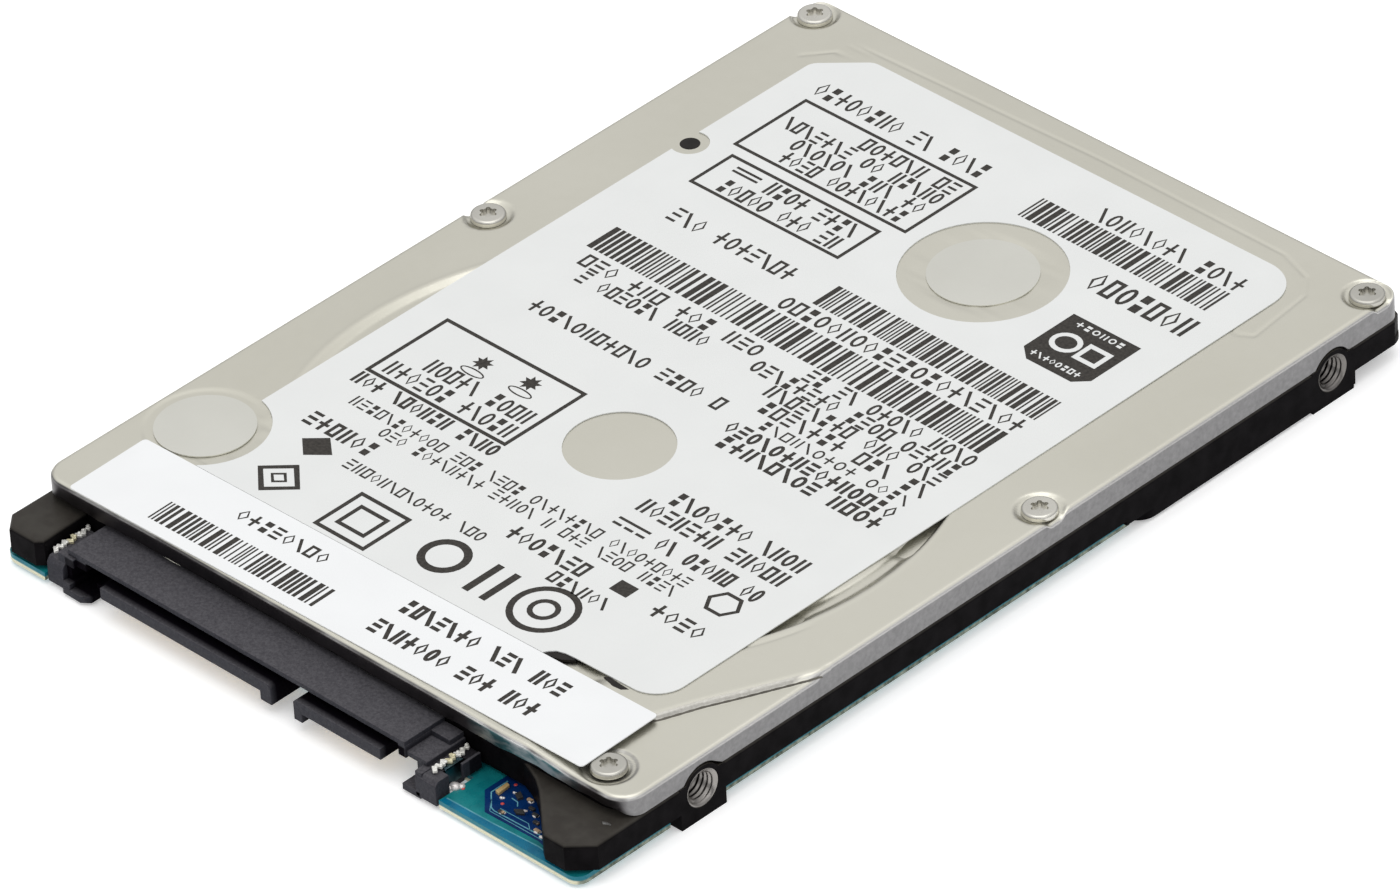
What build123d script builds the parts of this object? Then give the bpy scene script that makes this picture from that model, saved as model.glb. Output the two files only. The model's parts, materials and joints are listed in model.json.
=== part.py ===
from build123d import *
import math
import os

# A 2.5-inch hard disk drive, 7 mm class, in millimetres.
# +X runs across the width, -Y is the connector end, +Z points out of the cover.
# The origin is the centre of the drive's footprint, on the plane it rests on.

# ---- envelope
WIDTH = 69.85
LENGTH = 100.2
HEIGHT = 7.0
HALF_W = WIDTH / 2
HALF_L = LENGTH / 2

# ---- mounting threads, M3
SIDE_HOLE_Z = 3.0
BOTTOM_HOLE_X = 30.86
HOLE_NEAR_Y = -36.1
HOLE_FAR_Y = 40.5
THREAD_R = 1.5
MOUTH_R = 1.85
SIDE_HOLE_DEPTH = 2.4
BOTTOM_HOLE_DEPTH = 2.6
BOSS_WIDTH = 5.2
BOSS_INNER_X = 28.3
BOSS_ARCH_R = 2.2

# ---- heights of the stack
BOARD_Z = 0.4
BOARD_T = 0.8
BOARD_TOP = BOARD_Z + BOARD_T
WALL_Z = 1.25
EDGE_LOW_Z = 1.65
DEEP_Z = 0.35
FLOOR_LOW = 2.2
FLOOR_TOP = 3.0
VCM_FLOOR = 1.6
LEDGE_Z = 4.2
RIM_Z = 5.9
COVER_T = 0.5
COVER_TOP = 6.75
COVER_UNDER = COVER_TOP - COVER_T
FLANGE_Z = 4.25
LABEL_T = 0.1
LABEL_TOP = COVER_TOP + LABEL_T

# ---- axes and the disc
SPINDLE = (0.0, -10.5)
PIVOT = (5.8, 28.0)
DISC_R = 32.5
DISC_BORE_R = 10.0
DISC_Z = 4.05
DISC_T = 0.635
DISC_TOP = DISC_Z + DISC_T
CAVITY_R = 32.85

# ---- actuator, parked with its heads on the ramp
PARK_ANGLE = 204.0
SWING = 33.0
HUB_R = 5.6
SLEEVE_R = 3.9
PIVOT_SHAFT_R = 1.5
PIVOT_TOP = 6.2

# ---- circuit board and connector
BOARD_LEFT = -34.75
BOARD_RIGHT = 34.2
BOARD_NEAR_Y = -49.95
BOARD_FAR_Y = 15.7
BOARD_CORNER_R = 1.2
MOTOR_CUP_R = 12.9
PLATE_TOP = 4.4
TONGUE_TOP = 3.1
TONGUE_LOW = 1.95
TONGUE_FRONT = -50.0
PLUG_BACK = -44.4
CONTACT_PITCH = 1.27

# ---- cover screws
HEAD_R = 1.6
HEAD_H = 0.55
SCREW_SEAT = HEIGHT - HEAD_H
SHANK_R = 0.8
SUNK_SEAT = 6.15
RAISED_SCREWS = [(-32.98, 47.11), (32.98, 47.11), (-32.94, 6.29), (32.94, 6.29)]
SUNK_SCREWS = [(-27.2, -41.6), (30.27, -42.08)]

# ---- cover plan
FLANGE_X = 34.85
COVER_LEFT_Y = -45.25
COVER_MID_Y = -45.05
COVER_RIGHT_Y = -44.9
FRONT_FLANGE_Z = 5.0
COVER_FAR_Y = 49.5
COVER_CORNER_R = 2.4
PRESS_DEPTH = 0.45
GROOVE_DEPTH = 0.35
SEAL_SPOT = (-28.84, -31.5)
SEAL_R = 4.45
BREATHER_SPOT = (-27.25, 25.5)


# ------------------------------------------------------------------ helpers
def polar(centre, radius, degrees):
    """Point at a distance and an angle from a centre."""
    turn = math.radians(degrees)
    return (centre[0] + radius * math.cos(turn), centre[1] + radius * math.sin(turn))


def outline(*points):
    """Flat face through the given corner points."""
    return make_face(Polyline(*points, close=True))


def block(sketch, low, high):
    """Prism of a flat sketch between two heights."""
    return extrude(Pos(0, 0, low) * sketch, amount=high - low)


def box(x0, x1, y0, y1, z0, z1):
    """Box between two corners."""
    return Pos((x0 + x1) / 2, (y0 + y1) / 2, (z0 + z1) / 2) * Box(x1 - x0, y1 - y0, z1 - z0)


def rod(centre, radius, low, high):
    """Upright cylinder."""
    return Pos(centre[0], centre[1], (low + high) / 2) * Cylinder(radius, high - low)


def tube(centre, inner, outer, low, high):
    """Upright ring."""
    return rod(centre, outer, low, high) - rod(centre, inner, low, high)


def cone(centre, low_r, high_r, low, high):
    """Upright frustum."""
    return Pos(centre[0], centre[1], (low + high) / 2) * Cone(low_r, high_r, high - low)


def turned(centre, *profile):
    """Solid of revolution about a vertical axis, from (radius, height) points."""
    face = make_face(Polyline(*[(r, 0, z) for r, z in profile], close=True))
    return Pos(centre[0], centre[1], 0) * revolve(face, Axis.Z)


def rounded_edges(part, radius, edges):
    """Fillet, in the largest size up to the asked one that the edges accept."""
    for size in (radius, radius * 0.7, radius * 0.4):
        try:
            return fillet(edges, size)
        except Exception:
            continue
    return part


def sector(centre, inner, outer, start, end):
    """Flat ring sector between two angles."""
    middle = (start + end) / 2
    loop = Wire(
        [
            Line(polar(centre, inner, start), polar(centre, outer, start)).edge(),
            ThreePointArc(
                polar(centre, outer, start), polar(centre, outer, middle), polar(centre, outer, end)
            ).edge(),
            Line(polar(centre, outer, end), polar(centre, inner, end)).edge(),
            ThreePointArc(
                polar(centre, inner, end), polar(centre, inner, middle), polar(centre, inner, start)
            ).edge(),
        ]
    )
    return Face(loop)


def along_arm(*points):
    """Points given as (distance, offset) along the parked arm, in drive coordinates."""
    turn = math.radians(PARK_ANGLE)
    ux, uy = math.cos(turn), math.sin(turn)
    return [(PIVOT[0] + d * ux - s * uy, PIVOT[1] + d * uy + s * ux) for d, s in points]


def save(name, *solids):
    """Write one named sub-part, as one solid or as a group of separate ones."""
    shape = solids[0] if len(solids) == 1 else Compound(list(solids))
    export_step(shape, f"parts/{name}.step")


# ------------------------------------------------------------------ base casting
def base_plan():
    """Plan of the casting: two corner tabs with the connector's gap between them."""
    body = outline(
        (-HALF_W, -48.6),
        (-33.6, -HALF_L),
        (-30.5, -HALF_L),
        (-29.9, -49.5),
        (-30.1, -44.3),
        (22.4, -44.3),
        (23.6, -44.75),
        (24.7, -45.25),
        (26.0, -46.15),
        (27.4, -47.35),
        (28.75, -48.55),
        (29.9, -49.6),
        (30.6, -HALF_L),
        (32.9, -HALF_L),
        (HALF_W, -48.2),
        (HALF_W, 48.4),
        (34.2, 49.6),
        (33.0, HALF_L),
        (-33.0, HALF_L),
        (-34.2, 49.6),
        (-HALF_W, 48.4),
    )
    return body


def cavity_plan():
    """Plan of the sealed chamber: the disc's circle and the actuator's bay."""
    bay = Pos(0, 23.25) * RectangleRounded(56, 46.5, 3)
    park_bay = Pos(-25.8, 18) * RectangleRounded(11.6, 26, 2)
    plan = Pos(*SPINDLE) * Circle(CAVITY_R) + bay + park_bay
    return plan - Pos(*RAISED_SCREWS[2]) * Circle(3.4)


def side_boss(side, y):
    """Boss that carries one side thread and one bottom thread."""
    half = BOSS_WIDTH / 2
    inner, outer = sorted((side * BOSS_INNER_X, side * HALF_W))
    foot = box(inner, outer, y - half, y + half, 0, LEDGE_Z)
    arch = Pos(side * (HALF_W - 1.3), y, SIDE_HOLE_Z) * Rot(0, 90, 0) * Cylinder(BOSS_ARCH_R, 2.6)
    return foot + arch


def side_thread(side, y):
    """Side thread bore with its bevelled mouth."""
    bore = Pos(side * (HALF_W - SIDE_HOLE_DEPTH / 2), y, SIDE_HOLE_Z)
    mouth = Pos(side * (HALF_W - 0.15), y, SIDE_HOLE_Z)
    bevel = Cone(THREAD_R, MOUTH_R, 0.35)
    return (
        bore * Rot(0, 90, 0) * Cylinder(THREAD_R, SIDE_HOLE_DEPTH + 0.001)
        + mouth * Rot(0, 90 * side, 0) * bevel
    )


def bottom_thread(side, y):
    """Bottom thread bore with its bevelled mouth."""
    spot = (side * BOTTOM_HOLE_X, y)
    return rod(spot, THREAD_R, 0, BOTTOM_HOLE_DEPTH) + cone(spot, MOUTH_R, THREAD_R, 0, 0.35)


def motor_cup():
    """Cup under the floor that holds the motor, with the bearing boss in it."""
    cup = rod(SPINDLE, MOTOR_CUP_R, 0.5, FLOOR_TOP)
    well = rod(SPINDLE, 12.2, 1.35, FLOOR_TOP)
    boss = rod(SPINDLE, 4.6, 0.5, 2.9)
    return cup, well, boss


def base_casting():
    """Die-cast chassis with the disc chamber, bosses, motor cup and board pocket."""
    plan = base_plan()
    rim = Pos(0, 2.1) * RectangleRounded(67.8, 92.8, 2.6)
    slab = block(plan, WALL_Z, LEDGE_Z)
    slab = rounded_edges(slab, 0.35, slab.faces().sort_by(Axis.Z)[-1].edges())
    body = slab + block(rim, LEDGE_Z - 0.4, RIM_Z)
    deep = Pos(0, 33.1) * RectangleRounded(WIDTH, 34, 2)
    body += block(deep, DEEP_Z, FLOOR_LOW)
    body -= box(29.5, 36, 43.3, 51, 0, 1.7) + box(-36, -29.5, 43.3, 51, 0, 1.7)
    cavity = cavity_plan()
    body -= block(cavity, FLOOR_TOP, RIM_Z + 0.1)
    body -= block(Pos(0, 32.25) * RectangleRounded(56, 28.5, 3), VCM_FLOOR, RIM_Z)
    body -= base_underside()
    cup, well, boss = motor_cup()
    body += cup
    body -= well
    body += boss
    body += rod(PIVOT, 2.8, VCM_FLOOR, 2.9)
    for side in (-1, 1):
        for y in (HOLE_NEAR_Y, HOLE_FAR_Y):
            body += side_boss(side, y)
    body -= front_clearance()
    for side in (-1, 1):
        for y in (HOLE_NEAR_Y, HOLE_FAR_Y):
            body -= side_thread(side, y)
            body -= bottom_thread(side, y)
    for spot in RAISED_SCREWS + SUNK_SCREWS:
        body -= rod(spot, SHANK_R, 3.3, RIM_Z + 0.1)
    for spot in BOARD_SCREW_SPOTS:
        body -= rod(spot, 0.7, 0.9, 2.0)
    body -= rod(SPINDLE, 3.4, 0.5, 2.9)
    body -= rod(PIVOT, PIVOT_SHAFT_R, 1.0, 2.9)
    for spot in fixing_spots():
        body -= rod(spot, 0.6, 0.9, FLOOR_TOP)
    return body


def base_underside():
    """Pocket above the circuit board, round the motor and the board's posts."""
    pocket = outline((-32.4, -43.0), (32.4, -43.0), (32.4, 14.6), (-32.4, 14.6))
    pocket -= Pos(*SPINDLE) * Circle(MOTOR_CUP_R)
    for side in (-1, 1):
        pocket -= Pos(side * 31.0, HOLE_NEAR_Y) * Rectangle(8, 7.4)
    for spot in BOARD_SCREW_SPOTS:
        pocket -= Pos(*spot) * Circle(1.9)
    return block(pocket, WALL_Z - 0.1, FLOOR_LOW)


def board_gap():
    """Gap between the casting's lower edge and the board, except at bosses and screw posts."""
    plan = Pos(0, -18.2) * Rectangle(76, 65.6)
    plan -= Pos(*SPINDLE) * Circle(MOTOR_CUP_R)
    for side in (-1, 1):
        plan -= Pos(side * 31.0, HOLE_NEAR_Y) * Rectangle(8.2, BOSS_WIDTH)
    for spot in BOARD_SCREW_SPOTS:
        plan -= Pos(*spot) * Circle(1.9)
    return block(plan, WALL_Z - 0.1, EDGE_LOW_Z)


def front_clearance():
    """Room over the board's near end, for the plug's contact tails and for the cover's dimples."""
    room = box(-28.0, 15.0, -44.4, -42.9, WALL_Z - 0.1, 1.7)
    for spot in SUNK_SCREWS:
        room += rod(spot, 3.1, SUNK_SEAT - COVER_T - 0.05, RIM_Z + 0.1)
    room += board_gap()
    return room + block(lowered_corner(), COVER_UNDER - PRESS_DEPTH - 0.05, RIM_Z + 0.1)


BOARD_SCREW_SPOTS = [(-31.6, -28.5), (31.6, -28.5), (-30.6, 12.9), (30.6, 12.9), (0.0, 13.9)]


def fixing_spots():
    """Screw positions inside the chamber: the ramp's and the two yokes' screws."""
    return [RAMP_SCREW] + YOKE_SCREWS


# ------------------------------------------------------------------ cover
def crease_line():
    """Crease where the cover steps down to its lower corner beside the connector."""
    return [
        (26.0, -46.0),
        (26.6, -38.6),
        (29.0, -34.95),
        (30.14, -31.33),
        (31.33, -28.68),
        (33.64, -24.34),
        (35.0, -21.8),
    ]


def lowered_corner():
    """Plan of the cover's lowered corner, a little beyond its edges."""
    return outline(*crease_line(), (HALF_W + 2, -19.5), (HALF_W + 2, -48), (26.0, -48))


def cover_plan(inset):
    """Plan of the cover pan, inset by the sheet's thickness for the inner face."""
    side = FLANGE_X - inset
    left = COVER_LEFT_Y + inset
    middle = COVER_MID_Y + inset
    right = COVER_RIGHT_Y + inset
    far = COVER_FAR_Y - inset
    plan = outline(
        (-side, left),
        (-27.6, left),
        (-26.9, middle),
        (23.2, middle),
        (24.0, right),
        (side, right),
        (side, far),
        (-side, far),
    )
    corners = [v for v in plan.vertices() if abs(v.X) > 34 - inset]
    return fillet(corners, COVER_CORNER_R - inset)


def groove_ring(drop):
    """Pressed ring groove round the disc, with sloping walls."""
    top = COVER_TOP - drop
    floor = top - GROOVE_DEPTH
    ring = turned(
        SPINDLE,
        (27.5, top),
        (28.15, floor),
        (29.0, floor),
        (30.1, top),
        (30.1, top + 1),
        (27.5, top + 1),
    )
    flare = block(sector(SPINDLE, 29.2, 32.9, -58, -46), floor, top + 1)
    return ring + flare


def pressings(drop):
    """Everything the press pushes down into the sheet, lowered by a given amount."""
    top = COVER_TOP - drop
    tools = groove_ring(drop)
    tools += block(lowered_corner(), top - PRESS_DEPTH, top + 1)
    seat = SCREW_SEAT - drop
    for spot in RAISED_SCREWS:
        tools += cone(spot, 1.95 + drop * 0.4, 2.25 + drop * 0.4, seat, seat + 1)
    for spot in SUNK_SCREWS:
        tools += rod(spot, 1.95 + drop, SUNK_SEAT - drop, top + 1)
    return tools


def coined_seats():
    """Shallow round seats under the two foil seals, in the outer face only."""
    seats = rod(SEAL_SPOT, 5.6, COVER_TOP - 0.06, COVER_TOP + 1)
    return seats + rod(PIVOT, 5.6, COVER_TOP - 0.05, COVER_TOP + 1)


def side_notch(side, y, radius):
    """Arched opening in the side flange, round a threaded boss."""
    return Pos(side * HALF_W, y, SIDE_HOLE_Z) * Rot(0, 90, 0) * Cylinder(radius, 5)


def top_cover():
    """Stamped steel pan with rolled edges, flange notches and pressed features."""
    shell = block(cover_plan(0), FLANGE_Z, COVER_TOP)
    shell = rounded_edges(shell, 0.75, shell.faces().sort_by(Axis.Z)[-1].edges())
    shell -= pressings(0)
    shell -= coined_seats()
    room = block(cover_plan(COVER_T), FLANGE_Z - 1, COVER_UNDER) - pressings(COVER_T)
    shell -= room
    for side in (-1, 1):
        for y in (HOLE_NEAR_Y, HOLE_FAR_Y):
            shell -= side_notch(side, y, BOSS_ARCH_R + 0.2)
    shell -= box(-31.5, 33.0, -47, -43.9, 3, FRONT_FLANGE_Z)
    for spot in RAISED_SCREWS + SUNK_SCREWS:
        shell -= rod(spot, SHANK_R + 0.15, 3, COVER_TOP)
    shell -= rod(PIVOT, 1.0, 3, COVER_TOP)
    shell -= rod(BREATHER_SPOT, 0.9, 3, COVER_TOP + 1)
    shell -= rod(SEAL_SPOT, 3.2, 3, COVER_TOP + 1)
    return shell.solids().sort_by(SortBy.VOLUME)[-1]


def cover_gasket():
    """Formed-in-place gasket bead along the chamber's rim."""
    cavity = cavity_plan()
    bead = offset(cavity, 0.85) - offset(cavity, 0.25)
    return block(bead, RIM_Z, COVER_UNDER)


def six_lobe(spot, low, high):
    """Six-lobed driver recess."""
    recess = rod(spot, 0.62, low, high)
    for k in range(6):
        recess += rod(polar(spot, 0.62, 60 * k + 15), 0.21, low, high)
    return recess


def pan_screw(spot, seat, head_h, tip):
    """Low pan-head screw with a six-lobe recess."""
    head = rod(spot, HEAD_R, seat, seat + head_h)
    head = rounded_edges(head, 0.28, head.edges().sort_by(Axis.Z)[-1:])
    shank = rod(spot, SHANK_R, tip, seat)
    return head + shank - six_lobe(spot, seat + head_h - 0.36, seat + head_h)


def cover_screws():
    """The six screws that hold the cover down."""
    screws = [pan_screw(spot, SCREW_SEAT, HEAD_H, 3.3) for spot in RAISED_SCREWS]
    return screws + [pan_screw(spot, SUNK_SEAT, HEAD_H, 3.3) for spot in SUNK_SCREWS]


# ------------------------------------------------------------------ labels and seals
def main_label():
    """Paper label with two round windows and relief round the access seal."""
    plan = outline(
        (-27.8, -36.04),
        (15.65, -35.2),
        (15.95, -34.75),
        (16.4, -34.3),
        (17.2, -34.05),
        (18.4, -33.95),
        (27.8, -33.7),
        (27.8, 45.0),
        (-23.6, 45.0),
        (-27.8, 41.3),
    )
    corners = ((27.8, 45.0, 4.0), (27.8, -33.7, 3.0), (-23.6, 45.0, 1.5), (-27.8, 41.3, 1.5))
    for x, y, radius in corners:
        corner = min(plan.vertices(), key=lambda v: math.hypot(v.X - x, v.Y - y))
        plan = fillet(corner, radius)
    plan -= Pos(*SEAL_SPOT) * Circle(5.75)
    plan -= Pos(*BREATHER_SPOT) * Circle(1.78)
    plan -= Pos(*SPINDLE) * Circle(4.9)
    plan -= Pos(*PIVOT) * Circle(7.5)
    return block(plan, COVER_TOP, LABEL_TOP)


def part_label():
    """Long white label beside the connector, stuck on slightly askew."""
    plan = Pos(-1.1, -40.1) * Rot(0, 0, 1.1) * RectangleRounded(60.3, 9.05, 0.4)
    return block(plan, COVER_TOP, LABEL_TOP)


def access_seal():
    """Foil seal over the servo access hole."""
    return rod(SEAL_SPOT, SEAL_R, COVER_TOP - 0.06, COVER_TOP + 0.06)


def pivot_seal():
    """Foil seal over the pivot screw."""
    return rod(PIVOT, 4.95, COVER_TOP - 0.05, COVER_TOP + 0.05)


def pivot_screw():
    """Flat screw that ties the cover to the pivot shaft, below its seal."""
    head = rod(PIVOT, 0.98, PIVOT_TOP, COVER_TOP - 0.06)
    return head + rod(PIVOT, 0.6, 4.6, PIVOT_TOP)


def breather_filter():
    """Filter stuck under the breather hole."""
    return rod((-26.2, 26.4), 3.4, COVER_UNDER - 0.9, COVER_UNDER)


def recirculation_filter():
    """Pad filter standing in the disc's air stream."""
    pad = RectangleRounded(5.0, 1.4, 0.6)
    x, y = polar(SPINDLE, 34.6, 45)
    return block(Pos(x, y) * Rot(0, 0, 135) * pad, FLOOR_TOP, 5.8)


def desiccant_pack():
    """Desiccant sachet in the corner of the chamber."""
    sachet = block(Pos(-20.5, 40.5) * RectangleRounded(13, 9, 1.5), VCM_FLOOR, 4.6)
    return rounded_edges(sachet, 0.6, sachet.faces().sort_by(Axis.Z)[-1].edges())


# ------------------------------------------------------------------ spindle motor
def bearing_sleeve():
    """Fixed sleeve of the fluid bearing."""
    return tube(SPINDLE, 1.52, 3.4, 0.9, 3.2)


def thrust_cap():
    """Cap that closes the sleeve from below."""
    return rod(SPINDLE, 3.4, 0.5, 0.9)


def stator_core():
    """Laminated stator: a ring with nine teeth."""
    plan = Pos(*SPINDLE) * Circle(5.6)
    for k in range(9):
        plan += sector(SPINDLE, 5.0, 8.6, 40 * k - 6, 40 * k + 6)
        plan += sector(SPINDLE, 8.3, 9.2, 40 * k - 16, 40 * k + 16)
    plan -= Pos(*SPINDLE) * Circle(4.6)
    return block(plan, 1.8, 2.7)


def stator_coils():
    """Nine windings, one on each tooth."""
    coils = []
    core = sector(SPINDLE, 5.0, 8.6, -6, 6)
    for k in range(9):
        winding = block(sector(SPINDLE, 5.9, 8.0, -15, 15), 1.5, 3.0) - block(core, 1.8, 2.7)
        coils.append(Pos(*SPINDLE) * Rot(0, 0, 40 * k) * Pos(-SPINDLE[0], -SPINDLE[1]) * winding)
    return coils


def spindle_shaft():
    """Shaft that turns in the sleeve, with a tapped hole for the clamp screw."""
    return rod(SPINDLE, 1.5, 1.0, 4.65) - rod(SPINDLE, 0.8, 2.6, 4.65)


def rotor_hub():
    """Hub that carries the disc, with a skirt over the stator."""
    return turned(
        SPINDLE,
        (1.5, 3.5),
        (10.5, 3.5),
        (10.5, 1.75),
        (11.8, 1.75),
        (11.8, DISC_Z),
        (DISC_BORE_R, DISC_Z),
        (DISC_BORE_R, 4.65),
        (1.5, 4.65),
    )


def rotor_magnet():
    """Ring magnet inside the hub's skirt."""
    return tube(SPINDLE, 9.6, 10.5, 1.75, 3.1)


def platter():
    """Disc with chamfered edges."""
    edge = 0.12
    return turned(
        SPINDLE,
        (DISC_BORE_R, DISC_Z),
        (DISC_R - edge, DISC_Z),
        (DISC_R, DISC_Z + edge),
        (DISC_R, DISC_TOP - edge),
        (DISC_R - edge, DISC_TOP),
        (DISC_BORE_R, DISC_TOP),
    )


def disk_clamp():
    """Spring clamp with balance holes."""
    clamp = turned(
        SPINDLE,
        (0.85, DISC_TOP),
        (12.3, DISC_TOP),
        (12.3, DISC_TOP + 0.2),
        (11.6, DISC_TOP + 0.4),
        (7.0, DISC_TOP + 0.25),
        (0.85, DISC_TOP + 0.25),
    )
    for k in range(6):
        clamp -= rod(polar(SPINDLE, 5.2, 60 * k), 0.8, DISC_TOP, DISC_TOP + 0.5)
    return clamp


def clamp_screw():
    """Screw that pulls the clamp onto the hub."""
    seat = DISC_TOP + 0.25
    screw = rod(SPINDLE, 2.0, seat, seat + 0.5) + rod(SPINDLE, 0.8, 2.6, seat)
    return screw - six_lobe(SPINDLE, seat + 0.2, seat + 0.5)


# ------------------------------------------------------------------ actuator
def pivot_shaft():
    """Fixed shaft of the actuator's bearing, pressed into the casting."""
    shaft = rod(PIVOT, PIVOT_SHAFT_R, 1.0, PIVOT_TOP) + rod(PIVOT, 2.2, 2.9, 3.2)
    return shaft - rod(PIVOT, 0.6, 4.6, PIVOT_TOP)


def race_pair(inner, outer):
    """Two bearing rings with a ball groove, one low and one high on the shaft."""
    rings = []
    for low in (3.2, 4.7):
        groove = Pos(PIVOT[0], PIVOT[1], low + 0.55) * Torus(2.45, 0.42)
        rings.append(tube(PIVOT, inner, outer, low, low + 1.1) - groove)
    return rings


def pivot_inner_races():
    """Inner rings, fixed on the shaft."""
    return race_pair(PIVOT_SHAFT_R, 2.2)


def pivot_outer_races():
    """Outer rings, which turn with the actuator."""
    return race_pair(2.7, 3.3)


def pivot_balls():
    """Ten balls in each of the two bearings."""
    balls = []
    for low in (3.2, 4.7):
        for k in range(10):
            x, y = polar(PIVOT, 2.45, 36 * k)
            balls.append(Pos(x, y, low + 0.55) * Sphere(0.38))
    return balls


def pivot_sleeve():
    """Sleeve of the bearing cartridge, inside the arm's bore."""
    return tube(PIVOT, 3.3, SLEEVE_R, 3.2, 5.8)


def arm_blade(low, high):
    """One thin arm with a lightening hole."""
    rear = ((2.0, 4.6), (14.0, 3.4), (23.5, 2.1))
    front = ((23.5, -2.1), (14.0, -3.4), (2.0, -4.6))
    blade = outline(*along_arm(*rear, *front))
    for distance, radius in ((12.5, 1.7), (17.5, 1.2), (22.2, 0.9)):
        blade -= Pos(*along_arm((distance, 0))[0]) * Circle(radius)
    return block(blade, low, high)


def actuator_arm():
    """Aluminium arm block: a hub and one arm on each side of the disc."""
    pad = outline(*along_arm((0.0, -3.0), (0.5, -5.55), (8.5, -4.35), (8.5, -3.0)))
    arm = rod(PIVOT, HUB_R, 3.2, 5.5) + block(pad, 3.25, 5.45)
    arm += arm_blade(3.25, 3.65) + arm_blade(5.05, 5.45)
    return arm - rod(PIVOT, SLEEVE_R, 3.0, 5.9)


COIL_MID = PARK_ANGLE - 180.0
COIL_LOW = 3.85
COIL_HIGH = 4.65


def coil_frame():
    """Plastic frame moulded round the coil and onto the arm's hub."""
    frame = sector(PIVOT, HUB_R, 18.9, COIL_MID - 22, COIL_MID + 22)
    frame -= sector(PIVOT, 8.6, 18.0, COIL_MID - 18.5, COIL_MID + 18.5)
    return block(frame, COIL_LOW, COIL_HIGH)


def voice_coil():
    """Flat coil of copper wire."""
    coil = sector(PIVOT, 8.6, 18.0, COIL_MID - 18.5, COIL_MID + 18.5)
    coil -= sector(PIVOT, 11.2, 15.6, COIL_MID - 9, COIL_MID + 9)
    return block(coil, COIL_LOW, COIL_HIGH)


def suspension(low, high):
    """Thin steel suspension with its lift tab."""
    sheet = outline(
        *along_arm(
            (20.6, 1.9),
            (25.0, 1.9),
            (33.5, 0.75),
            (36.0, 0.5),
            (37.6, 0.25),
            (37.6, -0.25),
            (36.0, -0.5),
            (33.5, -0.75),
            (25.0, -1.9),
            (20.6, -1.9),
        )
    )
    sheet -= Pos(*along_arm((22.2, 0))[0]) * Circle(0.9)
    return block(sheet, low, high)


def head_slider(low, high):
    """Read and write head slider under the suspension's tip."""
    slider = outline(*along_arm((34.4, 0.4), (35.6, 0.4), (35.6, -0.4), (34.4, -0.4)))
    return block(slider, low, high)


def preamp_board():
    """Stiffened end of the flexible circuit on the arm's side."""
    strip = along_arm((2.5, -5.25), (8.5, -4.35), (8.5, -4.65), (2.5, -5.55))
    return block(outline(*strip), 3.4, 5.3)


def preamp_chip():
    """Head amplifier on the flexible circuit."""
    package = along_arm((3.5, -5.4), (6.5, -4.95), (6.5, -5.4), (3.5, -5.85))
    return block(outline(*package), 3.8, 4.9)


def flex_cable():
    """Flexible circuit's fixed run, from its bracket toward the arm."""
    path = ThreePointArc((-8.0, 35.64), (-3.4, 37.0), (0.6, 34.8))
    return block(trace(path, 0.14), 3.3, 5.4)


def flex_bracket():
    """Bracket with the feed-through connector of the flexible circuit."""
    bracket = box(-12.5, -6.5, 32.0, 35.5, VCM_FLOOR, 3.4)
    bracket += box(-12.5, -11.9, 32.0, 35.5, 3.4, 5.4)
    return bracket


# ------------------------------------------------------------------ voice coil motor
VCM_START = 1.0
VCM_END = 79.0
YOKE_SCREWS = [polar(PIVOT, 20.3, 14.0), polar(PIVOT, 13.4, 93.0)]
RAMP_SCREW = along_arm((36.0, -3.0))[0]
LATCH_PIN = polar(PIVOT, 19.5, -12.0)


def yoke(low, high):
    """Steel yoke plate over the coil's sweep, with ears for its screws."""
    plate = sector(PIVOT, 7.2, 18.4, VCM_START, VCM_END)
    for spot in YOKE_SCREWS:
        plate += Pos(*spot) * Circle(1.7)
    plate += sector(PIVOT, 17.0, 20.3, 9.5, 18.5) + sector(PIVOT, 11.7, 15.1, VCM_END - 1, 93)
    for spot in YOKE_SCREWS:
        plate -= Pos(*spot) * Circle(0.65)
    return block(plate, low, high)


def arc_magnet(low, high):
    """Arc magnet facing the coil."""
    return block(sector(PIVOT, 9.4, 17.2, VCM_START + 1, VCM_END - 1), low, high)


def yoke_screws():
    """Long screws that hold both yokes on the casting."""
    screws = []
    for spot in YOKE_SCREWS:
        screws.append(rod(spot, 1.4, 6.0, 6.2) + rod(spot, 0.6, 0.9, 6.0))
    return screws


def crash_stops():
    """Rubber posts at the two ends of the coil frame's swing."""
    low_side = polar(PIVOT, 12.0, COIL_MID - 22 - 7.2)
    high_side = polar(PIVOT, 7.3, COIL_MID + SWING + 22 + 9.6)
    return [rod(spot, 1.0, VCM_FLOOR, 4.8) for spot in (low_side, high_side)]


def load_ramp():
    """Plastic ramp between the two lift tabs, which holds the heads off the disc."""
    wedge = outline(*along_arm((36.4, -1.0), (38.0, -1.0), (38.0, 2.6), (36.4, 3.2)))
    post = outline(*along_arm((37.9, -4.6), (38.5, -4.6), (38.5, 2.6), (37.9, 2.6)))
    foot = outline(*along_arm((34.4, -4.6), (38.5, -4.6), (38.5, -1.4), (34.4, -1.4)))
    body = block(wedge, 3.83, 4.87) + block(post, FLOOR_TOP, 4.87) + block(foot, FLOOR_TOP, 3.4)
    return body - rod(RAMP_SCREW, 0.62, FLOOR_TOP, 3.4)


def ramp_screw():
    """Screw that holds the ramp down."""
    return rod(RAMP_SCREW, 1.1, 3.4, 3.9) + rod(RAMP_SCREW, 0.6, 1.7, 3.4)


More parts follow.
